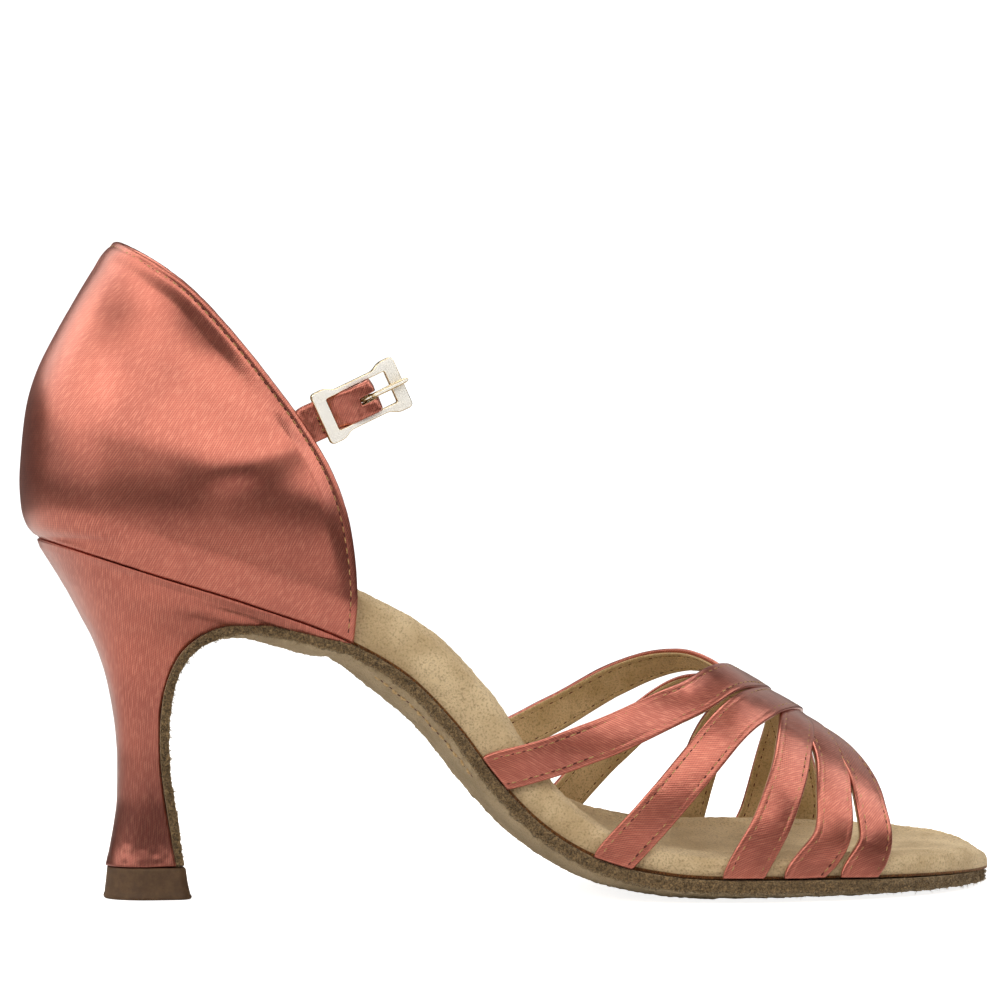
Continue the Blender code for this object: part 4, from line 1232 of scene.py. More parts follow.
# ---- heel
@dataclass
class Heel:
    """Satin covered heel, a wedge that narrows to a slim flared stem, on a rubber top piece."""

    last: Last
    finishes: Finishes
    columns: tuple[str, ...] = ("back_x", "back_z", "front_x", "front_z", "half", "round")
    rows: tuple[tuple[float, ...], ...] = (
        (-25.2, 82.4, 36.0, 62.6, 24.5, 0.42), (-22.2, 77.6, 27.0, 64.6, 23.2, 0.48),
        (-18.9, 72.2, 19.0, 64.8, 21.0, 0.54), (-15.6, 66.0, 11.6, 62.4, 17.4, 0.60),
        (-12.6, 60.0, 6.6, 58.0, 14.0, 0.65), (-10.0, 52.6, 3.6, 51.4, 11.0, 0.68),
        (-8.2, 43.6, 1.9, 42.6, 8.8, 0.70), (-7.2, 33.0, 2.0, 33.0, 7.6, 0.72),
        (-7.3, 24.0, 2.9, 24.0, 7.3, 0.72), (-8.6, 14.0, 4.5, 14.0, 7.9, 0.70),
        (-10.0, 7.7, 5.6, 7.7, 8.9, 0.68))
    flare: Pairs = (
        (0.0, 0.45), (0.12, 0.2), (0.35, 0.06), (0.7, 0.0), (1.2, 0.35), (2.4, 0.62),
        (4.0, 0.95), (5.6, 1.22), (6.7, 1.4), (7.15, 1.5), (7.4, 1.8))
    seat_front: float = 45.0
    fold: float = 0.8
    wedge_depth: float = 2.4
    top_lip: float = 0.5
    breast_drop: float = 0.6
    side_points: int = 58
    inset: float = 0.06
    broad: Lumps = Lumps(0.05, 7.0, 23)
    fine: Lumps = Lumps(0.03, 1.1, 29)
    pucker: Lumps = Lumps(0.05, 1.2, 31)
    rubbed: Lumps = Lumps(0.07, 1.4, 37)
    top_back: float = -10.4
    top_front: float = 9.6
    top_half: float = 9.6

    def side(self, share: Array, level: float) -> Array:
        """One side of a ring from back to breast: x, half width, middle and z.

        Args:
            share: Shares of the ring's length.
            level: Row of the table, or under 0 for the wedge up to the seat.

        Returns:
            The points' numbers, one row for each.
        """
        deep = max(0.0, level)
        knots = np.arange(len(self.rows))
        table = np.array(self.rows)
        back_x, back_z, front_x, front_z, half, turn = (
            float(read_rows(knots, table[:, i], deep)[0]) for i in range(6))
        width = half * rounded_end(share, turn, 2.1) * (1.0 - 0.1 * share**2)
        width = width * (1.0 - 0.04 * ease(0.96, 1.0, share))
        x = back_x + (front_x - back_x) * share
        z = back_z + (front_z - back_z) * share
        lean = self.last.feather("mid", x) * max(0.0, 1.0 - deep / 4.0)
        ring = np.stack((x, width, lean, z))
        if level < 0.0:
            seat_x = self.last.heel_x + (self.seat_front - self.last.heel_x) * share
            seat = np.stack((seat_x, self.last.seat_half(seat_x),
                             self.last.feather("mid", seat_x), self.last.feather("z", seat_x)))
            ring = ring * (1.0 + level) + seat * -level
        return ring

    def cover(self) -> None:
        """Make the satin cover."""
        share = 0.5 - 0.5 * np.cos(np.linspace(0.0, math.pi, self.side_points))
        levels = np.concatenate(((-1.0,), np.linspace(-1.0, -0.55, 12),
                                 np.linspace(-0.5, 0.0, 5)[:-1], np.linspace(0.0, 10.0, 150)))
        rings, cloth = [], []
        for number, level in enumerate(levels):
            x, width, lean, z = self.side(share, level)
            from_top = min(1.0, (level + 1.0) * self.wedge_depth / self.fold)
            inset = self.fold * (1.0 - math.sqrt(max(0.0, 1 - (1 - from_top) ** 2)))
            inset = 0.8 * inset + (number == 0) * self.top_lip
            scale = 1.0 - inset / np.maximum(4.0, width)
            x = x + inset * (1.0 - ease(0.0, 0.12, share))
            x = x + 0.3 * ease(0.7, 1.0, share) * ease(0.0, 0.6, level)
            z = z + (number == 0) * self.top_lip
            near_breast = ease(0.75, 0.95, share) * ease(-1.0, -0.5, level) * ease(4.0, 1.5, level)
            z = z - self.breast_drop * near_breast
            lateral = np.stack((x, lean - width * scale, z), axis=1)
            medial = np.stack((x, lean + width * scale, z), axis=1)
            ring = np.vstack((lateral[::-1], medial[1:]))
            run = chord_knots(ring[:, :2])
            middle = run[np.argmin(np.abs(share[::-1] - 0.55))]
            anchor = float(np.interp(0.55, share, x))
            rings.append(ring)
            cloth.append(np.stack((run - middle - anchor, ring[:, 2]), axis=1))
        points, cloth = np.array(rings), np.array(cloth)
        out = grid_normals(points)
        back = out[:, self.side_points - 1, 0]
        out *= np.sign(-back)[:, None, None]
        low_edge = ease(16.0, 9.0, points[..., 2])
        soft = self.broad.over(points) + self.fine.over(points * (1, 1, 0.3))
        soft = soft + low_edge * self.pucker.over(points) - self.inset
        points = points + out * soft[..., None]
        cover = self.closed(points, cloth).build("heel_satin_cover", [self.finishes.heel_satin])
        report(cover, "shoe", "satin", "heel")

    def closed(self, points: Array, cloth: Array | None = None) -> Skin:
        """A skin of rings that are open at the breast, closed there and at both ends.

        Args:
            points: Rings of points from one side of the breast to the other.
            cloth: Place of each on the flat cloth.

        Returns:
            The skin.
        """
        skin = Skin()
        index = skin.grid(points, cloth)
        skin.strip(index[:, -1], index[:, 0])
        self.lid(skin, index[0])
        self.lid(skin, index[-1][::-1])
        return skin

    @staticmethod
    def lid(skin: Skin, ring: Array) -> None:
        """Close a ring that mirrors itself with rungs from side to side.

        Args:
            skin: Skin that takes the faces.
            ring: Numbers of the ring's points.
        """
        count = len(ring)
        for i in range(count // 2):
            a, b, c, d = ring[i], ring[i + 1], ring[count - 2 - i], ring[count - 1 - i]
            corners = [a, b, c, d] if b != c else [a, b, d]
            skin.cap(np.array(corners))

    def top_piece(self) -> None:
        """Make the flared rubber top piece."""
        share = np.linspace(0.0, 1.0, 48) ** 1.3
        rings = []
        for height, grow in self.flare:
            back = self.top_back + grow * 0.6
            front = self.top_front - grow * 0.9
            half = self.top_half - grow * 0.6
            width = half * rounded_end(share, 0.6, 2.2) * rounded_end(1.06 - share, 0.22, 2.5)
            x = back + (front - back) * share
            lateral = np.stack((x, -width, np.full_like(x, height)), axis=1)
            rings.append(np.vstack((lateral[::-1], lateral[1:] * (1.0, -1.0, 1.0))))
        points = np.array(rings)
        rough = self.rubbed.over(points)[..., None] * (1.0, 1.0, 0.0)
        points = points + rough * (points[..., 2:] > 0.2)
        report(self.closed(points).build("rubber_top_piece", [self.finishes.rubber]), "shoe",
               "top_piece", "heel_top_piece")

    def build(self) -> None:
        """Make the heel."""
        self.cover()
        self.top_piece()


# ---- heel counter
@dataclass(frozen=True)
class Crease:
    """A soft trough or ridge laid over the counter.

    Attributes:
        side: -1 on the lateral side, 1 on the medial side.
        path: Points in the side view, x and z, from the back to the front.
        depth: Height of the ridge, under 0 for a trough.
        above: Width of the slope above the path.
        below: Width of the slope below the path.
    """

    side: int
    path: Pairs
    depth: float
    above: float
    below: float

    def relief(self, x: Array, z: Array) -> Array:
        """Height of the crease over points of its own side.

        Args:
            x: Distances along the shoe.
            z: Heights above the floor.

        Returns:
            The heights.
        """
        line = round_line(np.array(self.path), 60)
        way = unit(np.gradient(line, axis=0))
        step = np.linalg.norm(line[1] - line[0])
        gap = np.stack((x, z), axis=-1)[..., None, :] - line
        nearest = np.linalg.norm(gap, axis=-1).argmin(axis=-1)
        gap = np.take_along_axis(gap, nearest[..., None, None], axis=-2)[..., 0, :]
        ahead = np.clip(np.sum(way[nearest] * gap, axis=-1), -step / 2, step / 2)
        turn = way[nearest][..., 0] * gap[..., 1] - way[nearest][..., 1] * gap[..., 0]
        distance = np.sqrt(np.maximum(0.0, np.sum(gap**2, axis=-1) - ahead**2))
        width = np.where(turn > 0, self.above, self.below)
        share = (nearest + ahead / step) / (len(line) - 1)
        fade = ease(0.0, 0.3, share) * ease(1.0, 0.7, share)
        return self.depth * np.exp(-(distance / width) ** 2) * fade


@dataclass
class Counter:
    """Closed satin counter with folded edges, its lining and its row of stitches."""

    last: Last
    finishes: Finishes
    wall: float = 1.8
    flange: float = 3.2
    seam_in: float = 1.9
    groove: float = 0.16
    rolled: float = 0.08
    tuck: float = 1.1
    skim: float = 0.05
    follow: float = 0.6
    foot_front: float = 45.4
    seam_x: float = -27.0
    straight_from: float = 26.0
    columns: int = 112
    rows: int = 118
    soft: tuple[Lumps, ...] = (Lumps(0.04, 13.0, 41), Lumps(0.012, 4.0, 43))
    pile: Lumps = Lumps(0.05, 0.9, 47)
    back: Pairs = (
        (84.9, -26.0), (86.4, -27.4), (89.6, -28.6), (95.0, -29.3), (103.0, -29.3),
        (110.8, -28.8), (117.0, -27.8), (124.0, -25.6), (133.5, -20.8), (147.7, -12.6),
        (151.5, -10.2), (154.4, -7.2))
    topline: Pairs = (
        (-7.2, 154.4), (-1.8, 150.7), (7.0, 144.4), (18.1, 132.8), (27.2, 121.2), (34.0, 111.8),
        (40.6, 100.3), (43.8, 91.0), (45.7, 79.6), (46.2, 71.0))
    swell: Pairs = (
        (0.0, 1.0), (10.0, 1.07), (28.0, 1.06), (48.0, 0.94), (72.0, 0.76))
    roundness: Pairs = ((0.0, 26.0), (20.0, 28.0), (45.0, 27.0), (72.0, 24.0))
    creases: tuple[Crease, ...] = (
        Crease(-1, ((-18.0, 152.0), (-7.0, 144.0), (0.0, 137.0), (8.0, 127.0), (18.0, 114.0)),
               -1.3, 8.5, 11.5),
        Crease(-1, ((2.0, 138.2), (12.5, 127.4), (21.2, 116.2), (32.0, 101.0)), -0.4, 4.5, 7.0),
        Crease(-1, ((5.0, 97.0), (18.0, 102.6), (27.0, 106.2), (36.0, 109.6), (52.0, 116.0)),
               1.4, 9.0, 5.6),
        Crease(-1, ((16.0, 94.0), (34.0, 91.5), (52.0, 88.0), (80.0, 82.0)), 0.5, 14.0, 16.0),
        Crease(-1, ((-44.0, 95.0), (-24.0, 95.0), (-5.0, 95.0), (15.0, 94.0), (42.0, 90.0),
                    (66.0, 84.0), (96.0, 76.0)), 1.5, 16.0, 13.0),
        Crease(-1, ((-28.5, 106.0), (-25.5, 115.0), (-20.6, 128.0), (-15.6, 139.6),
                    (-8.0, 153.0)), 0.4, 3.6, 3.6),
        Crease(1, ((-14.0, 148.6), (0.0, 140.5), (8.6, 133.0), (24.0, 114.0)), -1.0, 5.0, 9.0),
        Crease(1, ((44.0, 98.0), (24.0, 103.0), (4.0, 104.0)), -0.5, 4.5, 5.5),
        Crease(1, ((-40.0, 97.0), (-24.0, 97.0), (0.0, 97.0), (36.0, 90.0), (54.0, 86.0)),
               0.7, 10.0, 11.0),
    )

    def back_x(self, z: Array) -> Array:
        """Place of the back seam at a height."""
        return read_pairs(self.back, z, monotone=False)

    def half(self, ahead: Array, z: Array) -> tuple[Array, Array]:
        """X and half width of the outer face at a distance ahead of the back seam.

        Args:
            ahead: Distances ahead of the back seam.
            z: Heights above the floor.

        Returns:
            X and half width of each point.
        """
        x = self.back_x(z) + ahead
        height = np.maximum(0.0, z - self.last.feather("z", x))
        half = self.last.feather("half", x) + self.last.counter_inset
        half = half * read_pairs(self.swell, height)
        return x, half * rounded_end(ahead, read_pairs(self.roundness, height))

    def net(self) -> tuple[Array, Array]:
        """Points of the outer face, rows from foot to edge, and its place on flat cloth.

        Returns:
            The points and their places on the cloth.
        """
        top = np.array(self.topline)
        knots = chord_knots(top)
        share = np.sin(np.linspace(0.0, 1.0, self.columns) * math.pi / 2) ** 2
        foot_x = self.last.heel_x + (self.foot_front - self.last.heel_x) * share
        foot_z = self.last.feather("z", foot_x) + 0.02
        top_x = read_rows(knots, top[:, 0], share * knots[-1], False)
        top_z = read_rows(knots, top[:, 1], share * knots[-1], False)
        t = np.linspace(0.0, 1.0, self.rows)
        t = np.where(t < 0.5, 0.5 * (2 * t) ** 1.35, 1 - 0.5 * (2 * (1 - t)) ** 1.6)[:, None]
        z = foot_z + (top_z - foot_z) * t
        back = self.back_x(z)
        bow = back - back[0] * (1 - t) - back[-1] * t
        ahead = foot_x + (top_x - foot_x) * t + (1 - share) ** 2 * bow - back
        ahead = np.maximum(0.0, ahead)
        x, half = self.half(ahead, z)
        mid = self.last.feather("mid", x)
        lateral = np.stack((x, mid - half, z), axis=-1)[:, ::-1]
        medial = np.stack((x, mid + half, z), axis=-1)
        lateral[:, -1, 1] = 0.0
        points = np.concatenate((lateral, medial[:, 1:]), axis=1)
        steps = ahead[..., None] * np.linspace(0.0, 1.0, 40) ** 2
        xs, halves = self.half(steps.reshape(-1), np.repeat(z.reshape(-1), 40))
        shape = (*z.shape, 40)
        run = np.hypot(np.diff(xs.reshape(shape)), np.diff(halves.reshape(shape))).sum(axis=-1)
        run = run + (back - self.seam_x) * ease(0.0, self.straight_from, ahead)
        run = np.concatenate((-run[:, ::-1], run[:, 1:]), axis=1)
        return points, np.stack((run, points[..., 2]), axis=-1)

    @staticmethod
    def nearest(points: Array, line: Array) -> Array:
        """Distance of each point from a line of points.

        Args:
            points: Points to read.
            line: Points of the line.

        Returns:
            The distances.
        """
        tree = search_tree(line)
        flat = points.reshape(-1, 3)
        return np.array([tree.find(p)[2] for p in flat]).reshape(points.shape[:-1])

    def edge_line(self, points: Array) -> Array:
        """The free edge: up the lateral front, over the top and down the medial front.

        Args:
            points: Points of the outer face.

        Returns:
            The edge's points.
        """
        line = np.concatenate((points[:, 0], points[-1, 1:], points[::-1, -1][1:]))
        return round_line(line[np.r_[True, np.linalg.norm(np.diff(line, axis=0), axis=1) > 0.02]],
                          1800)

    def build(self) -> None:
        """Make the counter, its lining and its stitches."""
        points, cloth = self.net()
        out = grid_normals(points)
        middle = self.columns - 1
        out *= np.sign(-out[self.rows // 2, middle, 0])
        edge = self.nearest(points, self.edge_line(points))
        foot = self.nearest(points, round_line(points[0], 900))
        r = self.wall / 2
        roll = r * (1 - np.sqrt(1 - (1 - np.clip(edge / r, 0, 1)) ** 2))
        tuck = self.tuck * (1 - np.sqrt(1 - (1 - np.clip(foot / self.tuck, 0, 1)) ** 2))
        relief = np.zeros(edge.shape)
        for crease in self.creases:
            part = np.s_[:, :middle + 1] if crease.side < 0 else np.s_[:, middle:]
            relief[part] += crease.relief(points[part][..., 0], points[part][..., 2])
        calm = ease(1.5, 6.0, edge) * ease(1.0, 6.0, foot)
        groove = -self.groove * np.exp(-((edge - self.seam_in) / 0.35) ** 2) * ease(0.0, 3.0, foot)
        bead = self.rolled * np.exp(-((edge - 1.0) / 0.5) ** 2)
        soft = sum(lumps.over(points) for lumps in self.soft)
        outward = relief * calm + groove + bead + soft * ease(0.5, 3.0, edge)
        outer = points + out * (outward - roll - np.minimum(tuck, 0.9) - self.skim)[..., None]
        inner = points - out * (self.wall - roll - self.skim)[..., None]
        inner = inner + out * (self.follow * np.minimum(0.0, relief * calm))[..., None]
        inner = inner + out * self.pile.over(points)[..., None]
        skin = Skin()
        skin.grid(outer, cloth)
        lined = (edge[:-1, :-1] > self.flange) * 1
        skin.grid(inner[:, ::-1], cloth[:, ::-1], slot=lined[:, ::-1])
        self.rim(skin, outer, inner, cloth)
        cloths = [self.finishes.counter_satin, self.finishes.lining_suede]
        piece = skin.build("counter_satin_shell", cloths, weld=True)
        report(piece, "shoe", "satin", "heel_counter")
        self.stitch(points, outer, out, edge)

    @staticmethod
    def calmed(path: Array, reach: int = 4) -> Array:
        """A path with its small wobbles evened out.

        Args:
            path: Points of the path.
            reach: Points on each side that take part.

        Returns:
            The calmer path.
        """
        long = np.concatenate((np.repeat(path[:1], reach, 0), path, np.repeat(path[-1:], reach, 0)))
        share = np.hanning(2 * reach + 3)[1:-1]
        share /= share.sum()
        return np.stack([np.convolve(long[:, i], share, "valid") for i in range(3)], axis=1)

    def rim(self, skin: Skin, outer: Array, inner: Array, cloth: Array) -> None:
        """Close the shell along its free edge and its foot.

        Args:
            skin: Skin that takes the rim.
            outer: Points of the outer face.
            inner: Points of the lining.
            cloth: Place of each on the flat cloth.
        """
        for a, b, c in ((outer[-1], inner[-1], cloth[-1]), (inner[0], outer[0], cloth[0]),
                        (inner[:, 0], outer[:, 0], cloth[:, 0]),
                        (outer[:, -1], inner[:, -1], cloth[:, -1])):
            skin.grid(np.stack((a, b)), np.stack((c, c)))

    def stitch(self, points: Array, outer: Array, out: Array, edge: Array) -> None:
        """Sew round the free edge, on the outer face.

        Args:
            points: The net's points.
            outer: Points of the outer face.
            out: Outward direction at each.
            edge: Distance of each from the free edge.
        """
        line = self.edge_line(points)[14:-14:6]
        band = np.abs(edge - self.seam_in) < 0.5
        near, skin_side, normal = points[band], outer[band], out[band]
        miss = np.abs(edge[band] - self.seam_in)
        tree = search_tree(near)
        path, normals = [], []
        for place in line:
            found = [i for _, i, _ in tree.find_n(place, 10)]
            weight = (1.0 / (0.08 + miss[found]) ** 2)[:, None]
            path.append((skin_side[found] * weight).sum(axis=0) / weight.sum())
            normals.append(unit((normal[found] * weight).sum(axis=0)))
        path, normals = self.calmed(np.array(path)), self.calmed(np.array(normals))
        seam = Seam(pitch=2.5, thread=0.13, hole=0.19, hole_share=0.36)
        seam.sew(path, unit(normals))
        seam.build("counter", "shoe", "satin", self.finishes.thread, self.finishes.hole)


# ---- vamp straps
@dataclass(frozen=True)
class HalfStrap:
    """One strap from its foot on the sole to its end in the knot.

    Attributes:
        name: Side and number, from the rear.
        lift: How far it rides above the last at the knot.
        course: Points on the last, distance along the shoe and degrees round it.
    """

    name: str
    lift: float
    course: Pairs


@dataclass
class Vamp:
    """Ten half straps of folded satin lined with suede, crossed and sewn in a knot."""

    last: Last
    finishes: Finishes
    width: float = 9.4
    step: float = 0.6
    droop: float = 0.2
    seam_in: float = 3.2
    satin: Pairs = (
        (-3.6, 0.52), (-4.3, 0.5), (-4.62, 0.68), (-4.7, 1.0), (-4.68, 1.3), (-4.55, 1.47),
        (-4.25, 1.56), (-3.85, 1.6), (-3.5, 1.62), (-3.2, 1.58), (-2.9, 1.63), (-2.2, 1.68),
        (-1.2, 1.73), (0.0, 1.75))
    lining: Pairs = (
        (-4.2, 0.5), (-4.5, 0.38), (-4.56, 0.18), (-4.35, 0.0), (-3.9, -0.06), (-3.5, -0.04),
        (-3.2, 0.1), (-2.9, 0.0), (-2.0, -0.04), (0.0, -0.06))
    straps: tuple[HalfStrap, ...] = (
        HalfStrap("lateral_1", 2.6, (
            (78, 0), (96, 21), (117, 42), (129, 56), (142.5, 84), (149, 106))),
        HalfStrap("lateral_2", 2.2, (
            (105, 0), (115, 13), (127, 32), (138, 54), (148.5, 77), (156, 100))),
        HalfStrap("lateral_3", 1.2, (
            (134.5, 0), (141, 14), (146, 32), (149, 49), (152, 70), (152, 94))),
        HalfStrap("lateral_4", 0.95, (
            (149, 0), (155.8, 13), (157.5, 33), (158.3, 52), (156, 74), (152, 92))),
        HalfStrap("lateral_5", 0.4, (
            (162.5, 0), (166.8, 13), (166.7, 30), (165.5, 50), (160.5, 72), (153, 92))),
        HalfStrap("medial_1", 1.2, (
            (78, 180), (94, 160), (113.5, 136), (127, 116), (138.5, 94), (146, 78))),
        HalfStrap("medial_2", 0.7, (
            (99, 180), (113, 162), (125, 144), (135.5, 124), (147, 99), (153, 84))),
        HalfStrap("medial_3", 1.0, (
            (135.5, 180), (138, 168), (141.5, 146), (146, 122), (150, 98), (150, 84))),
        HalfStrap("medial_4", 0.5, (
            (152, 180), (155.5, 168), (157.5, 146), (157.5, 120), (154, 98), (150, 86))),
        HalfStrap("medial_5", 0.0, (
            (163.5, 180), (165.5, 167), (164.5, 152), (160, 126), (155, 104), (151, 88))),
    )

    def track(self, strap: HalfStrap) -> tuple[Array, Array, Array, Array]:
        """Lay a strap over the last.

        Args:
            strap: The strap.

        Returns:
            Points of its inner face, the vector of its width, its outward direction and the
            distance along it.
        """
        course = np.array(strap.course, float)
        stations = np.arange(len(course), dtype=float)
        fine = np.linspace(0.0, stations[-1], 400)
        xs = read_rows(stations, course[:, 0], fine, monotone=False)
        turns = read_rows(stations, course[:, 1], fine, monotone=False)
        knots = chord_knots(self.last.point(xs, turns))
        stops = np.linspace(0.0, knots[-1], round(knots[-1] / self.step) + 1)
        x, turn = np.interp(stops, knots, xs), np.interp(stops, knots, turns)
        points = self.last.point(x, turn)
        along = unit(np.gradient(points, axis=0))
        share = stops / knots[-1]
        normal = self.last.normal(x, turn)
        if strap.name.startswith("lateral"):
            normal = unit(normal - np.outer(ease(0.7, 0.35, share), (0.0, 0.0, self.droop)))
        across = unit(np.cross(normal, along))
        across *= np.where(across[:, :1] < 0, -1.0, 1.0)
        rail = unit(self.last.point(x + 1.0, turn) - self.last.point(x - 1.0, turn))
        foot = self.width / np.maximum(0.5, np.abs(np.sum(rail * across, axis=1)))[:, None]
        square = ease(0.0, 11.0, stops)[:, None]
        spread = rail * foot * (1.0 - square) + across * self.width * square
        rise = strap.lift * ease(0.3, 0.75, share) * (1.0 - 0.6 * ease(0.88, 1.0, share))
        return points + normal * rise[:, None], spread, normal, stops

    def sweep(self, half: Pairs, count: int) -> Array:
        """A closed section from one half of it."""
        line = np.array(half)
        return round_line(np.vstack((line, line[-2::-1] * (-1.0, 1.0))), count)

    def lay(self, section: Array, inner: Array, spread: Array, normal: Array) -> Array:
        """Rings of a section along a strap.

        Args:
            section: Points of the section, across and out.
            inner: Points of the strap's inner face.
            spread: Vector of its width at each.
            normal: Outward direction at each.

        Returns:
            The rings.
        """
        side, height = section[:, 0] / self.width, section[:, 1]
        return (inner[:, None] + spread[:, None] * side[None, :, None]
                + normal[:, None] * height[None, :, None])

    def strap(self, strap: HalfStrap, seam: Seam, lining_seam: Seam) -> None:
        """Make the satin and the lining of one strap and sew its edges.

        Args:
            strap: The strap.
            seam: Seam of the satin.
            lining_seam: Seam of the lining.
        """
        inner, spread, normal, stops = self.track(strap)
        seed = 51 + len(strap.name) + int(strap.name[-1]) * 7 + (strap.name[0] == "m") * 3
        section = self.sweep(self.satin, 46)
        rings = self.lay(section, inner, spread, normal)
        wave = Lumps(0.13, 8.0, seed).over(rings) + Lumps(0.04, 2.2, seed + 1).over(rings)
        high = ease(0.7, 1.4, section[:, 1])[None, :]
        rings = rings + normal[:, None] * (wave * high)[..., None]
        run = chord_knots(section)
        run = np.append(run, run[-1] + 7.2)
        cloth = np.stack(np.broadcast_arrays(run[None, :], stops[:, None]), axis=-1)
        skin = Skin()
        skin.tube(rings, cloth)
        report(skin.build("strap_" + strap.name, [self.finishes.strap_satin]), "shoe", "satin",
               "vamp_straps")
        under = self.sweep(self.lining, 34)
        rings = self.lay(under, inner, spread, normal)
        pile = Lumps(0.05, 0.9, seed + 2).over(rings)
        rings = rings - normal[:, None] * (pile * ease(0.3, 0.0, under[:, 1])[None, :])[..., None]
        skin = Skin()
        rim = ease(3.3, 3.7, np.abs(under[:, 0]))[None, :] * np.ones((len(stops), 1))
        skin.tube(rings, mark=rim * 0.5)
        report(skin.build("lining_" + strap.name, [self.finishes.lining_suede]), "shoe",
               "insole_suede", "vamp_straps")
        for side in (-self.seam_in, self.seam_in):
            face = self.lay(np.array(((side, 1.5), (side, 0.08))), inner, spread, normal)
            seam.sew(face[:, 0], normal, 1.6)
            lining_seam.sew(face[:, 1], -normal, 2.4)

    def build(self) -> None:
        """Make every strap and the stitches."""
        seam, lining_seam = Seam(), Seam(thread=0.12, hole=0.15)
        for strap in self.straps:
            self.strap(strap, seam, lining_seam)
        seam.build("strap", "shoe", "satin", self.finishes.thread, self.finishes.hole)
        lining_seam.build("lining", "shoe", "insole_suede", self.finishes.sole_thread,
                          self.finishes.hole)


# ---- buckle
@dataclass(frozen=True)
class BucklePlace:
    """Where the buckle sits, and its own axes: long axis, height, outward."""

    centre: Spot = (47.8, -21.6, 116.8)
    rise: float = 25.0
    turn: float = 8.0
    bar_x: float = 1.4
    bar_r: float = 0.7

    def axes(self) -> Matrix:
        """Turn from the buckle's own axes to the shoe's.

        Returns:
            The turn.
        """
        rise, turn = math.radians(self.rise), math.radians(self.turn)
        long_axis = Vector((math.cos(rise) * math.cos(turn), math.cos(rise) * math.sin(turn),
                            math.sin(rise)))
        outward = Vector((math.sin(turn), -math.cos(turn), 0.0))
        return Matrix((long_axis, outward.cross(long_axis), outward)).transposed()

    def point(self, x: float, y: float, z: float) -> Array:
        """A point given in the buckle's own axes, in the shoe's."""
        return np.array(Vector(self.centre) + self.axes() @ Vector((x, y, z)))

    def world(self, x: float) -> Matrix:
        """World matrix at a distance along the buckle, for meshes in metres.

        Args:
            x: Distance in mm.

        Returns:
            The matrix.
        """
        place = self.axes().to_4x4()
        place.translation = Vector(self.point(x, 0.0, 0.0)) * MM
        return place


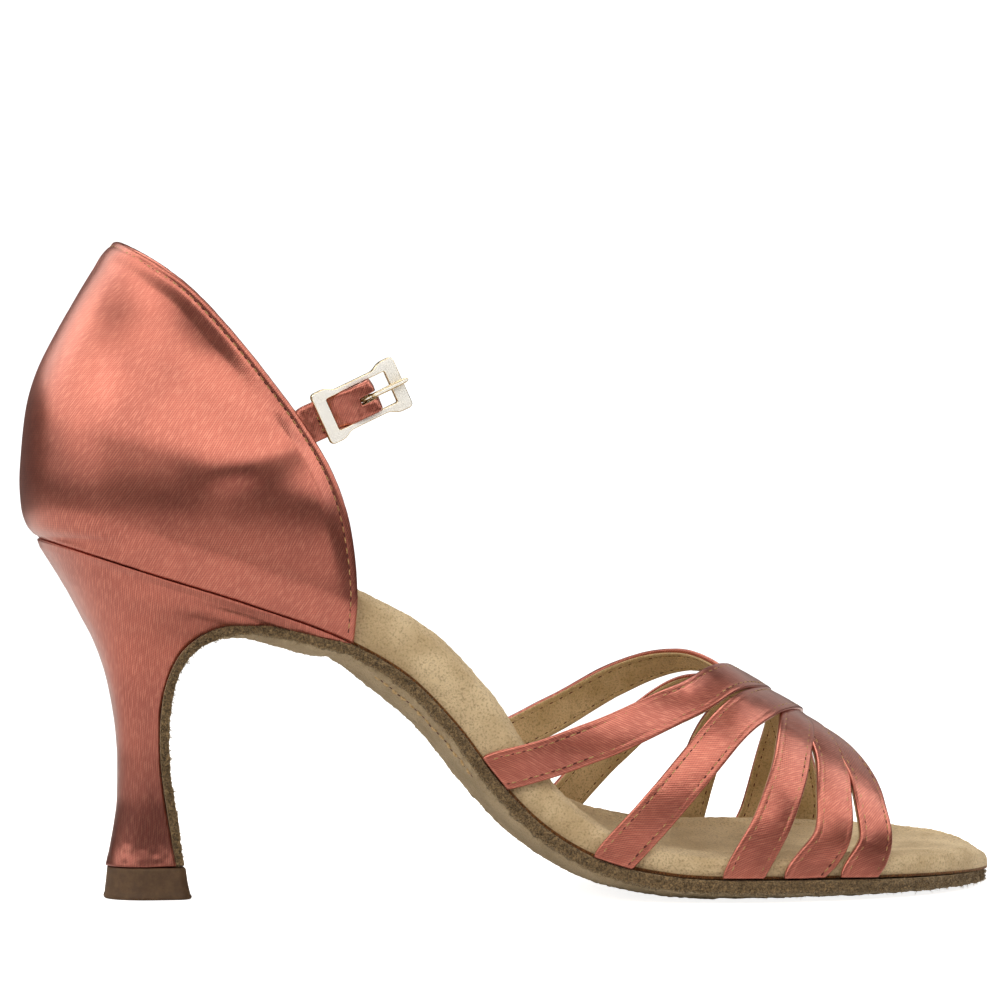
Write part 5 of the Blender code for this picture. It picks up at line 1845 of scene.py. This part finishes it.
@dataclass
class Tab:
    """Satin tab sewn inside the lateral quarter and looped over the buckle's middle bar."""

    counter: Counter
    place: BucklePlace
    finishes: Finishes
    wall: float = 1.6
    width: float = 9.0
    neck: float = 8.0
    root_x: float = 25.0
    plate: float = 1.5
    slot_back: float = 2.2
    across: tuple[float, ...] = (
        -0.5, -0.485, -0.45, -0.41, -0.36, -0.31, -0.26, -0.20, -0.15, -0.11,
        0.0, 0.11, 0.15, 0.20, 0.26, 0.31, 0.36, 0.41, 0.45, 0.485, 0.5)
    swell: tuple[float, ...] = (
        -0.6, -0.3, -0.1, -0.02, 0.02, 0.04, 0.06, 0.07, 0.06, 0.04, 0.04,
        0.04, 0.06, 0.07, 0.06, 0.04, 0.02, -0.02, -0.1, -0.3, -0.6)
    bunched: Lumps = Lumps(0.24, 1.9, 71)
    creased: Lumps = Lumps(0.07, 1.0, 73)

    def inside(self, x: float, z: float, depth: float) -> Array:
        """A point a depth in from the counter's lateral face.

        Args:
            x: Distance along the shoe.
            z: Height above the floor.
            depth: Depth in mm.

        Returns:
            The point.
        """
        back = float(self.counter.back_x(np.array([z]))[0])
        ahead = np.array((x - back - 0.2, x - back, x - back + 0.2))
        xs, half = self.counter.half(ahead, np.full(3, z))
        outward = unit(np.array((half[0] - half[2], -(xs[2] - xs[0]), 0.0)))
        y = float(self.counter.last.feather("mid", xs[1])[0]) - half[1]
        return np.array((xs[1], y, z)) - outward * depth

    def path(self) -> tuple[Array, Array, Array]:
        """Middle line of the tab, the direction of its width and its width at each point.

        Returns:
            The points, the directions and the widths.
        """
        turn_r = self.place.bar_r + GAP + self.wall * 0.5
        behind = -(self.plate * 0.5 + GAP + self.wall * 0.5)
        upright = unit(self.place.point(0, 1, 0) - self.place.point(0, 0, 0))
        depth = self.counter.wall + GAP + self.wall * 0.5
        root_z = self.place.point(-24.0, 0.0, behind)[2]
        line, axes, widths = [], [], []
        for x, z in ((self.root_x, root_z - 1.5), (self.root_x + 5.0, root_z + 0.5)):
            line.append(self.inside(x, z, depth))
            axes.append(unit(self.inside(x, z + 3.0, depth) - self.inside(x, z - 3.0, depth)))
            widths.append(self.width)
        for x, z in ((-13.2, behind - 0.5), (-10.6, behind - 0.1), (-8.0, behind), (-6.2, -1.2),
                     (-4.0, 0.4), (-1.6, 1.5)):
            line.append(self.place.point(x, 0.0, z))
            widths.append(self.width if x < -9.0 else self.neck)
        for degrees in (90, 55, 20, -20, -55, -90):
            turn = math.radians(degrees)
            line.append(self.place.point(self.place.bar_x + turn_r * math.cos(turn), 0.0,
                                         turn_r * math.sin(turn)))
        line.append(self.place.point(self.place.bar_x - 2.4, 0.0, -turn_r))
        line.append(self.place.point(self.place.bar_x - 4.6, 0.0, -turn_r - 0.1))
        axes += [upright] * (len(line) - len(axes))
        widths += [self.neck] * (len(line) - len(widths))
        return np.array(line), np.array(axes), np.array(widths)

    @staticmethod
    def loop_round(block: Array) -> Array:
        """The points round the edge of a block of them."""
        return np.concatenate((block[0], block[1:, -1], block[-1, -2::-1], block[-2:0:-1, 0]))

    def build(self) -> None:
        """Make the tab, with a slot for the prong, and its stitches."""
        line, axes, widths = self.path()
        knots = chord_knots(line)
        stops = np.linspace(0.0, knots[-1], 130)
        middle = round_line(line, len(stops))
        axis = unit(along_line(axes, knots, stops))
        width = read_rows(knots, widths, stops)
        along = unit(np.gradient(middle, axis=0))
        normal = unit(np.cross(along, axis))
        side, swell = np.array(self.across), np.array(self.swell)
        local = np.array(self.place.axes()).T @ (middle - np.array(self.place.centre)).T
        in_slot = (local[0] - self.place.bar_x > -self.slot_back) & (stops > knots[4])
        bunch = ease(knots[5], knots[9], stops)[:, None]
        faces = []
        for sign in (1.0, -1.0):
            flat = middle[:, None] + axis[:, None] * (side * width[:, None])[..., None]
            rumple = self.bunched.over(flat) * bunch + self.creased.over(flat)
            high = self.wall * 0.5 + swell + rumple * (np.abs(side) < 0.49)
            faces.append(flat + normal[:, None] * (sign * high)[..., None])
        cloth = np.stack(np.broadcast_arrays(side[None, :] * 9.0, stops[:, None]), axis=-1)
        hole = (in_slot[:-1] & in_slot[1:])[:, None] & (np.abs(side[:-1] + side[1:]) < 0.2)[None, :]
        skin = Skin()
        tops = skin.grid(faces[0], cloth)
        lows = skin.grid(faces[1][:, ::-1], cloth[:, ::-1])[:, ::-1]
        keep = np.concatenate((~hole.reshape(-1), ~hole[:, ::-1].reshape(-1)))
        skin.faces = [f for f, kept in zip(skin.faces, keep) if kept]
        skin.slots = [np.concatenate(skin.slots)[keep]]
        skin.cloth = [np.concatenate(skin.cloth).reshape(-1, 4, 2)[keep].reshape(-1, 2)]
        loops = [(self.loop_round(tops), self.loop_round(lows))]
        if hole.any():
            first, last = np.flatnonzero(hole.any(axis=1))[[0, -1]]
            left, right = np.flatnonzero(hole.any(axis=0))[[0, -1]]
            rows, columns = slice(first, last + 2), slice(left, right + 2)
            loops.append(tuple(self.loop_round(block[rows, columns]) for block in (tops, lows)))
        for slot, (loop, pair) in enumerate(loops):
            skin.strip(np.append(loop, loop[0]), np.append(pair, pair[0]), slot)
        cloths = [self.finishes.strap_satin, self.finishes.lining_suede]
        report(skin.build("buckle_tab_satin", cloths), "shoe", "satin", "buckle_tab")
        seam = Seam(pitch=1.5, thread=0.17, hole=0.2)
        cross = int(np.searchsorted(stops, knots[3] - 0.4))
        row = (middle[cross] + axis[cross] * np.linspace(-0.36, 0.36, 12)[:, None] * width[cross]
               + normal[cross] * (0.5 * self.wall + 0.02))
        seam.sew(row, np.repeat(normal[cross:cross + 1], 12, axis=0), 0.3)
        seam.build("buckle_tab", "shoe", "satin", self.finishes.thread, self.finishes.hole)


@dataclass
class Buckle:
    """Flat plated frame with a round middle bar, and its prong."""

    place: BucklePlace
    finishes: Finishes
    length: float = 21.8
    height: float = 12.8
    plate: float = 1.5
    end_bar: float = 3.2
    rail: float = 1.3
    waist: float = 1.2
    prong_r: float = 0.6
    reach: float = 11.9
    eye_tube: float = 0.45
    edge: float = 0.32

    def corners(self) -> tuple[list[tuple[float, float]], list[tuple[float, float]]]:
        """Corners of the frame's outer and inner outlines.

        Returns:
            The outer corners and the inner corners.
        """
        long, high = self.length / 2 - self.edge, self.height / 2 - self.edge
        bar = self.length / 2 - self.end_bar
        waist = self.height / 2 - self.waist
        under = [(-long, -high), (-bar + 0.4, -high), (-bar + 2.6, self.edge - waist),
                 (bar - 2.6, self.edge - waist), (bar - 0.4, -high), (long, -high)]
        outer = under + [(-x, -y) for x, y in under]
        inside = waist - self.rail + self.edge
        bar += self.edge
        inner = [(-bar, -inside), (-bar, inside), (bar, inside), (bar, -inside)]
        return outer, inner

    @staticmethod
    def rounded(corners: list[tuple[float, float]], radius: float) -> list[Vector]:
        """A closed outline with its corners rounded off.

        Args:
            corners: Corners in order.
            radius: Length cut from each side of a corner.

        Returns:
            The outline's points.
        """
        points = []
        for i, corner in enumerate(corners):
            here = Vector(corner)
            before = (Vector(corners[i - 1]) - here).normalized() * radius
            after = (Vector(corners[(i + 1) % len(corners)]) - here).normalized() * radius
            for t in np.linspace(0.0, 1.0, 7):
                points.append(here + before * (1 - t) ** 2 + after * t**2)
        return points

    def outline_mesh(self) -> bpy.types.Mesh:
        """Mesh of the plate, its edges rounded over.

        Returns:
            The mesh.
        """
        curve = bpy.data.curves.new("plate_outline", "CURVE")
        curve.dimensions = "2D"
        curve.fill_mode = "BOTH"
        curve.extrude = (self.plate * 0.5 - self.edge) * MM
        curve.bevel_depth = self.edge * MM
        curve.bevel_resolution = 4
        outer, inner = self.corners()
        for outline, radius in ((outer, 0.9), (inner, 0.8)):
            points = self.rounded(outline, radius)
            spline = curve.splines.new("POLY")
            spline.points.add(len(points) - 1)
            spline.use_cyclic_u = True
            for knot, point in zip(spline.points, points):
                knot.co = (point.x * MM, point.y * MM, 0.0, 1.0)
        return self.to_mesh(curve)

    @staticmethod
    def to_mesh(curve: bpy.types.Curve) -> bpy.types.Mesh:
        """Turn a curve into a welded mesh.

        Args:
            curve: The curve.

        Returns:
            The mesh.
        """
        holder = set_down(curve.name, curve)
        bpy.context.view_layer.update()
        ready = holder.evaluated_get(bpy.context.evaluated_depsgraph_get())
        mesh = bpy.data.meshes.new_from_object(ready)
        bpy.data.objects.remove(holder, do_unlink=True)
        work = bmesh.new()
        work.from_mesh(mesh)
        bmesh.ops.remove_doubles(work, verts=work.verts[:], dist=1e-6)
        bmesh.ops.recalc_face_normals(work, faces=work.faces[:])
        work.to_mesh(mesh)
        work.free()
        return mesh

    def joined(self, name: str, parts: list[tuple[bpy.types.Mesh, Matrix]]) -> Piece:
        """One piece from several meshes, each in its own place; flat faces take the near-white
        painted highlight material.

        Args:
            name: Name of the piece.
            parts: Meshes with their places.

        Returns:
            The piece.
        """
        work = bmesh.new()
        for mesh, place in parts:
            # Flat faces take the second, near-white material: a painted highlight on the plating.
            flat = [abs(face.normal.z) > 0.9 and abs(face.center.z) > 0.3 * MM
                    for face in mesh.polygons]
            mesh.polygons.foreach_set("material_index", flat)
            mesh.transform(place)
            work.from_mesh(mesh)
        made = bpy.data.meshes.new(name)
        work.to_mesh(made)
        work.free()
        made.materials.append(self.finishes.gilt)
        made.materials.append(self.finishes.gilt_face)
        made.shade_smooth()
        made.set_sharp_from_angle(angle=math.radians(50))
        return set_down(name, made)

    def rod(self, stations: tuple[tuple[float, float, float, float], ...],
            radius: float) -> bpy.types.Mesh:
        """A round rod through stations of x, y, z and share of the radius.

        Args:
            stations: Stations of x, y, z and share.
            radius: Full radius.

        Returns:
            The mesh.
        """
        curve = bpy.data.curves.new("rod", "CURVE")
        curve.dimensions = "3D"
        curve.bevel_depth = radius * MM
        curve.bevel_resolution = 6
        curve.use_fill_caps = True
        line = round_line(np.array(stations), 40)
        spline = curve.splines.new("POLY")
        spline.points.add(len(line) - 1)
        for knot, (x, y, z, size) in zip(spline.points, line):
            knot.co = (x * MM, y * MM, z * MM, 1.0)
            knot.radius = max(0.05, size)
        return self.to_mesh(curve)

    def build(self) -> None:
        """Make the frame and the prong."""
        waist = self.height / 2 - self.waist - self.rail * 0.5
        bar = self.rod(((0.0, -waist, 0.0, 1.0), (0.0, 0.0, 0.0, 1.0), (0.0, waist, 0.0, 1.0)),
                       self.place.bar_r)
        parts = [(self.outline_mesh(), self.place.world(0.0)),
                 (bar, self.place.world(self.place.bar_x))]
        report(self.joined("buckle_plate", parts), "shoe", "pale_gold", "buckle_frame")
        eye_r = self.place.bar_r + GAP + self.eye_tube
        rest = self.plate * 0.5 + GAP + self.prong_r
        reach = self.reach - self.place.bar_x
        shank = self.rod(((0.9, 0.0, eye_r - 0.45, 0.8), (2.0, 0.0, eye_r + 0.1, 1.0),
                          (3.2, 0.0, rest, 1.0), (reach - 1.2, 0.0, rest, 1.0),
                          (reach - 0.4, 0.0, rest - 0.05, 0.85), (reach, 0.0, rest - 0.1, 0.45)),
                         self.prong_r)
        turn = np.linspace(0.0, 2 * math.pi, 41)
        ring = tuple((eye_r * math.cos(a), 0.0, eye_r * math.sin(a), 1.0) for a in turn)
        eye = self.rod(ring, self.eye_tube)
        place = self.place.world(self.place.bar_x)
        report(self.joined("buckle_pin", [(shank, place), (eye, place)]), "prong",
               "pale_gold", "buckle_prong")


# ---- studio
@dataclass(frozen=True)
class Softbox:
    """An area light: its place, width and height in metres, and its power in watts."""

    name: str
    place: Spot
    size: tuple[float, float]
    power: float
    colour: Colour = (1.0, 0.97, 0.91)

    def hang(self, aim: Spot) -> None:
        """Hang the light so that it looks at the aim.

        Args:
            aim: Point to look at.
        """
        light = bpy.data.lights.new(self.name, "AREA")
        light.shape = "RECTANGLE"
        light.size, light.size_y = self.size
        light.energy = self.power
        light.color = self.colour
        lamp = set_down(self.name, light)
        lamp.location = self.place
        ahead = Vector(aim) - Vector(self.place)
        lamp.rotation_euler = ahead.to_track_quat("-Z", "Y").to_euler()
        lamp.visible_camera = False


@dataclass
class Studio:
    """Pale floor, soft lights and the camera."""

    lights: tuple[Softbox, ...] = (
        Softbox("front", (0.1, -1.1, 0.84), (2.1, 1.0), 9.5),
        Softbox("toe_side", (1.2, -0.12, 0.85), (1.3, 0.7), 4.4),
        Softbox("heel_side", (-0.98, -0.27, 0.66), (1.6, 0.9), 7.0),
        Softbox("back", (-0.72, 0.62, 0.72), (0.9, 0.7), 2.6),
        Softbox("top", (0.1, 0.2, 1.4), (1.1, 1.0), 7.8),
        Softbox("far_side", (0.65, 0.85, 0.5), (0.9, 0.6), 0.6))
    lit_point: Spot = (0.08, 0.0, 0.07)
    glow: float = 0.06
    yaw: float = 9.6
    distance: float = 1.2
    aim: float = 0.082955
    aim_z: float = 0.0934
    camera_z: float = 0.119
    lens: float = 183.83

    def floor(self) -> None:
        """Lay a wide plain floor."""
        n = Nodes("floor_paint")
        reach = n.add("ShaderNodeVectorMath", operation="LENGTH")
        n.feed(reach.inputs[0], n.place())
        glow = n.span(reach.outputs["Value"], 0.2, 1.0, 0.72, 1.0)
        seen = n.add("ShaderNodeLightPath").outputs["Is Camera Ray"]
        near, far = (0.78, 0.78, 0.78), (0.10, 0.10, 0.10)
        paint = n.mix(n.span(reach.outputs["Value"], 0.24, 0.84), near, far)
        above = n.math("SUBTRACT", glow, self.glow)
        n.finish(Base_Color=paint, Roughness=0.6, Specular_IOR_Level=0.1,
                 Emission_Color=(1.0, 1.0, 1.0),
                 Emission_Strength=n.math("MULTIPLY_ADD", above, seen, self.glow))
        mesh = bpy.data.meshes.new("floor")
        size = 30.0
        mesh.from_pydata([(-size, -size, -0.0001), (size, -size, -0.0001), (size, size, -0.0001),
                          (-size, size, -0.0001)], [], [(0, 1, 2, 3)])
        mesh.materials.append(n.material)
        plane = set_down("floor", mesh)

    def card(self, name: str, place: Spot, size: tuple[float, float], shade: float) -> None:
        """Stand a dark card that the satin and the plating reflect.

        Args:
            name: Name of the card.
            place: Its middle, in metres.
            size: Its width and height.
            shade: How light it is, from 0 to 1.
        """
        n = Nodes(name)
        n.finish(Base_Color=(shade, shade, shade), Roughness=1.0, Specular_IOR_Level=0.0)
        x, y = size[0] / 2, size[1] / 2
        mesh = bpy.data.meshes.new(name)
        mesh.from_pydata([(-x, 0, -y), (x, 0, -y), (x, 0, y), (-x, 0, y)], [], [(0, 1, 2, 3)])
        mesh.materials.append(n.material)
        board = set_down(name, mesh)
        board.location = place
        board.visible_camera = False
        board.visible_shadow = False

    def sky(self) -> None:
        """Fill the room with even white light."""
        world = bpy.data.worlds.new("room")
        bpy.context.scene.world = world
        world.use_nodes = True
        tree = world.node_tree
        back = tree.nodes["Background"]
        back.inputs["Color"].default_value = (1.0, 1.0, 1.0, 1.0)
        seen = tree.nodes.new("ShaderNodeLightPath")
        share = tree.nodes.new("ShaderNodeMapRange")
        share.inputs["To Min"].default_value = self.glow
        share.inputs["To Max"].default_value = 1.0
        tree.links.new(seen.outputs["Is Camera Ray"], share.inputs["Value"])
        tree.links.new(share.outputs[0], back.inputs["Strength"])

    def camera(self) -> None:
        """Set up the camera."""
        turn = math.radians(self.yaw)
        ahead = Vector((math.sin(turn), math.cos(turn), 0.0))
        right = Vector((math.cos(turn), -math.sin(turn), 0.0))
        target = right * self.aim + Vector((0.0, 0.0, self.aim_z))
        place = target - ahead * self.distance
        place.z = self.camera_z
        camera = bpy.data.cameras.new("camera")
        camera.sensor_width = 36.0
        camera.lens = self.lens
        camera.clip_end = 100.0
        holder = set_down("camera", camera)
        holder.location = place
        holder.rotation_euler = (target - place).to_track_quat("-Z", "Y").to_euler()
        bpy.context.scene.camera = holder

    def build(self) -> None:
        """Make the studio."""
        view = bpy.context.scene.view_settings
        view.view_transform = "Standard"
        view.look = "Medium High Contrast"
        self.floor()
        self.sky()
        self.camera()
        for light in self.lights:
            light.hang(self.lit_point)
        self.card("dark_card", (-0.2, -1.75, 0.2), (3.0, 0.44), 0.01)


def main() -> None:
    """Build the shoe, dress it and set up the studio."""
    logging.basicConfig(level=logging.INFO, format="%(name)s: %(message)s")
    finishes = Finishes.mix()
    last = Last()
    counter = Counter(last, finishes)
    place = BucklePlace()
    Studio().build()
    Footbed(last, finishes).build()
    Outsole(last, finishes).build()
    Heel(last, finishes).build()
    counter.build()
    Vamp(last, finishes).build()
    Tab(counter, place, finishes).build()
    Buckle(place, finishes).build()


if __name__ == "__main__":
    main()
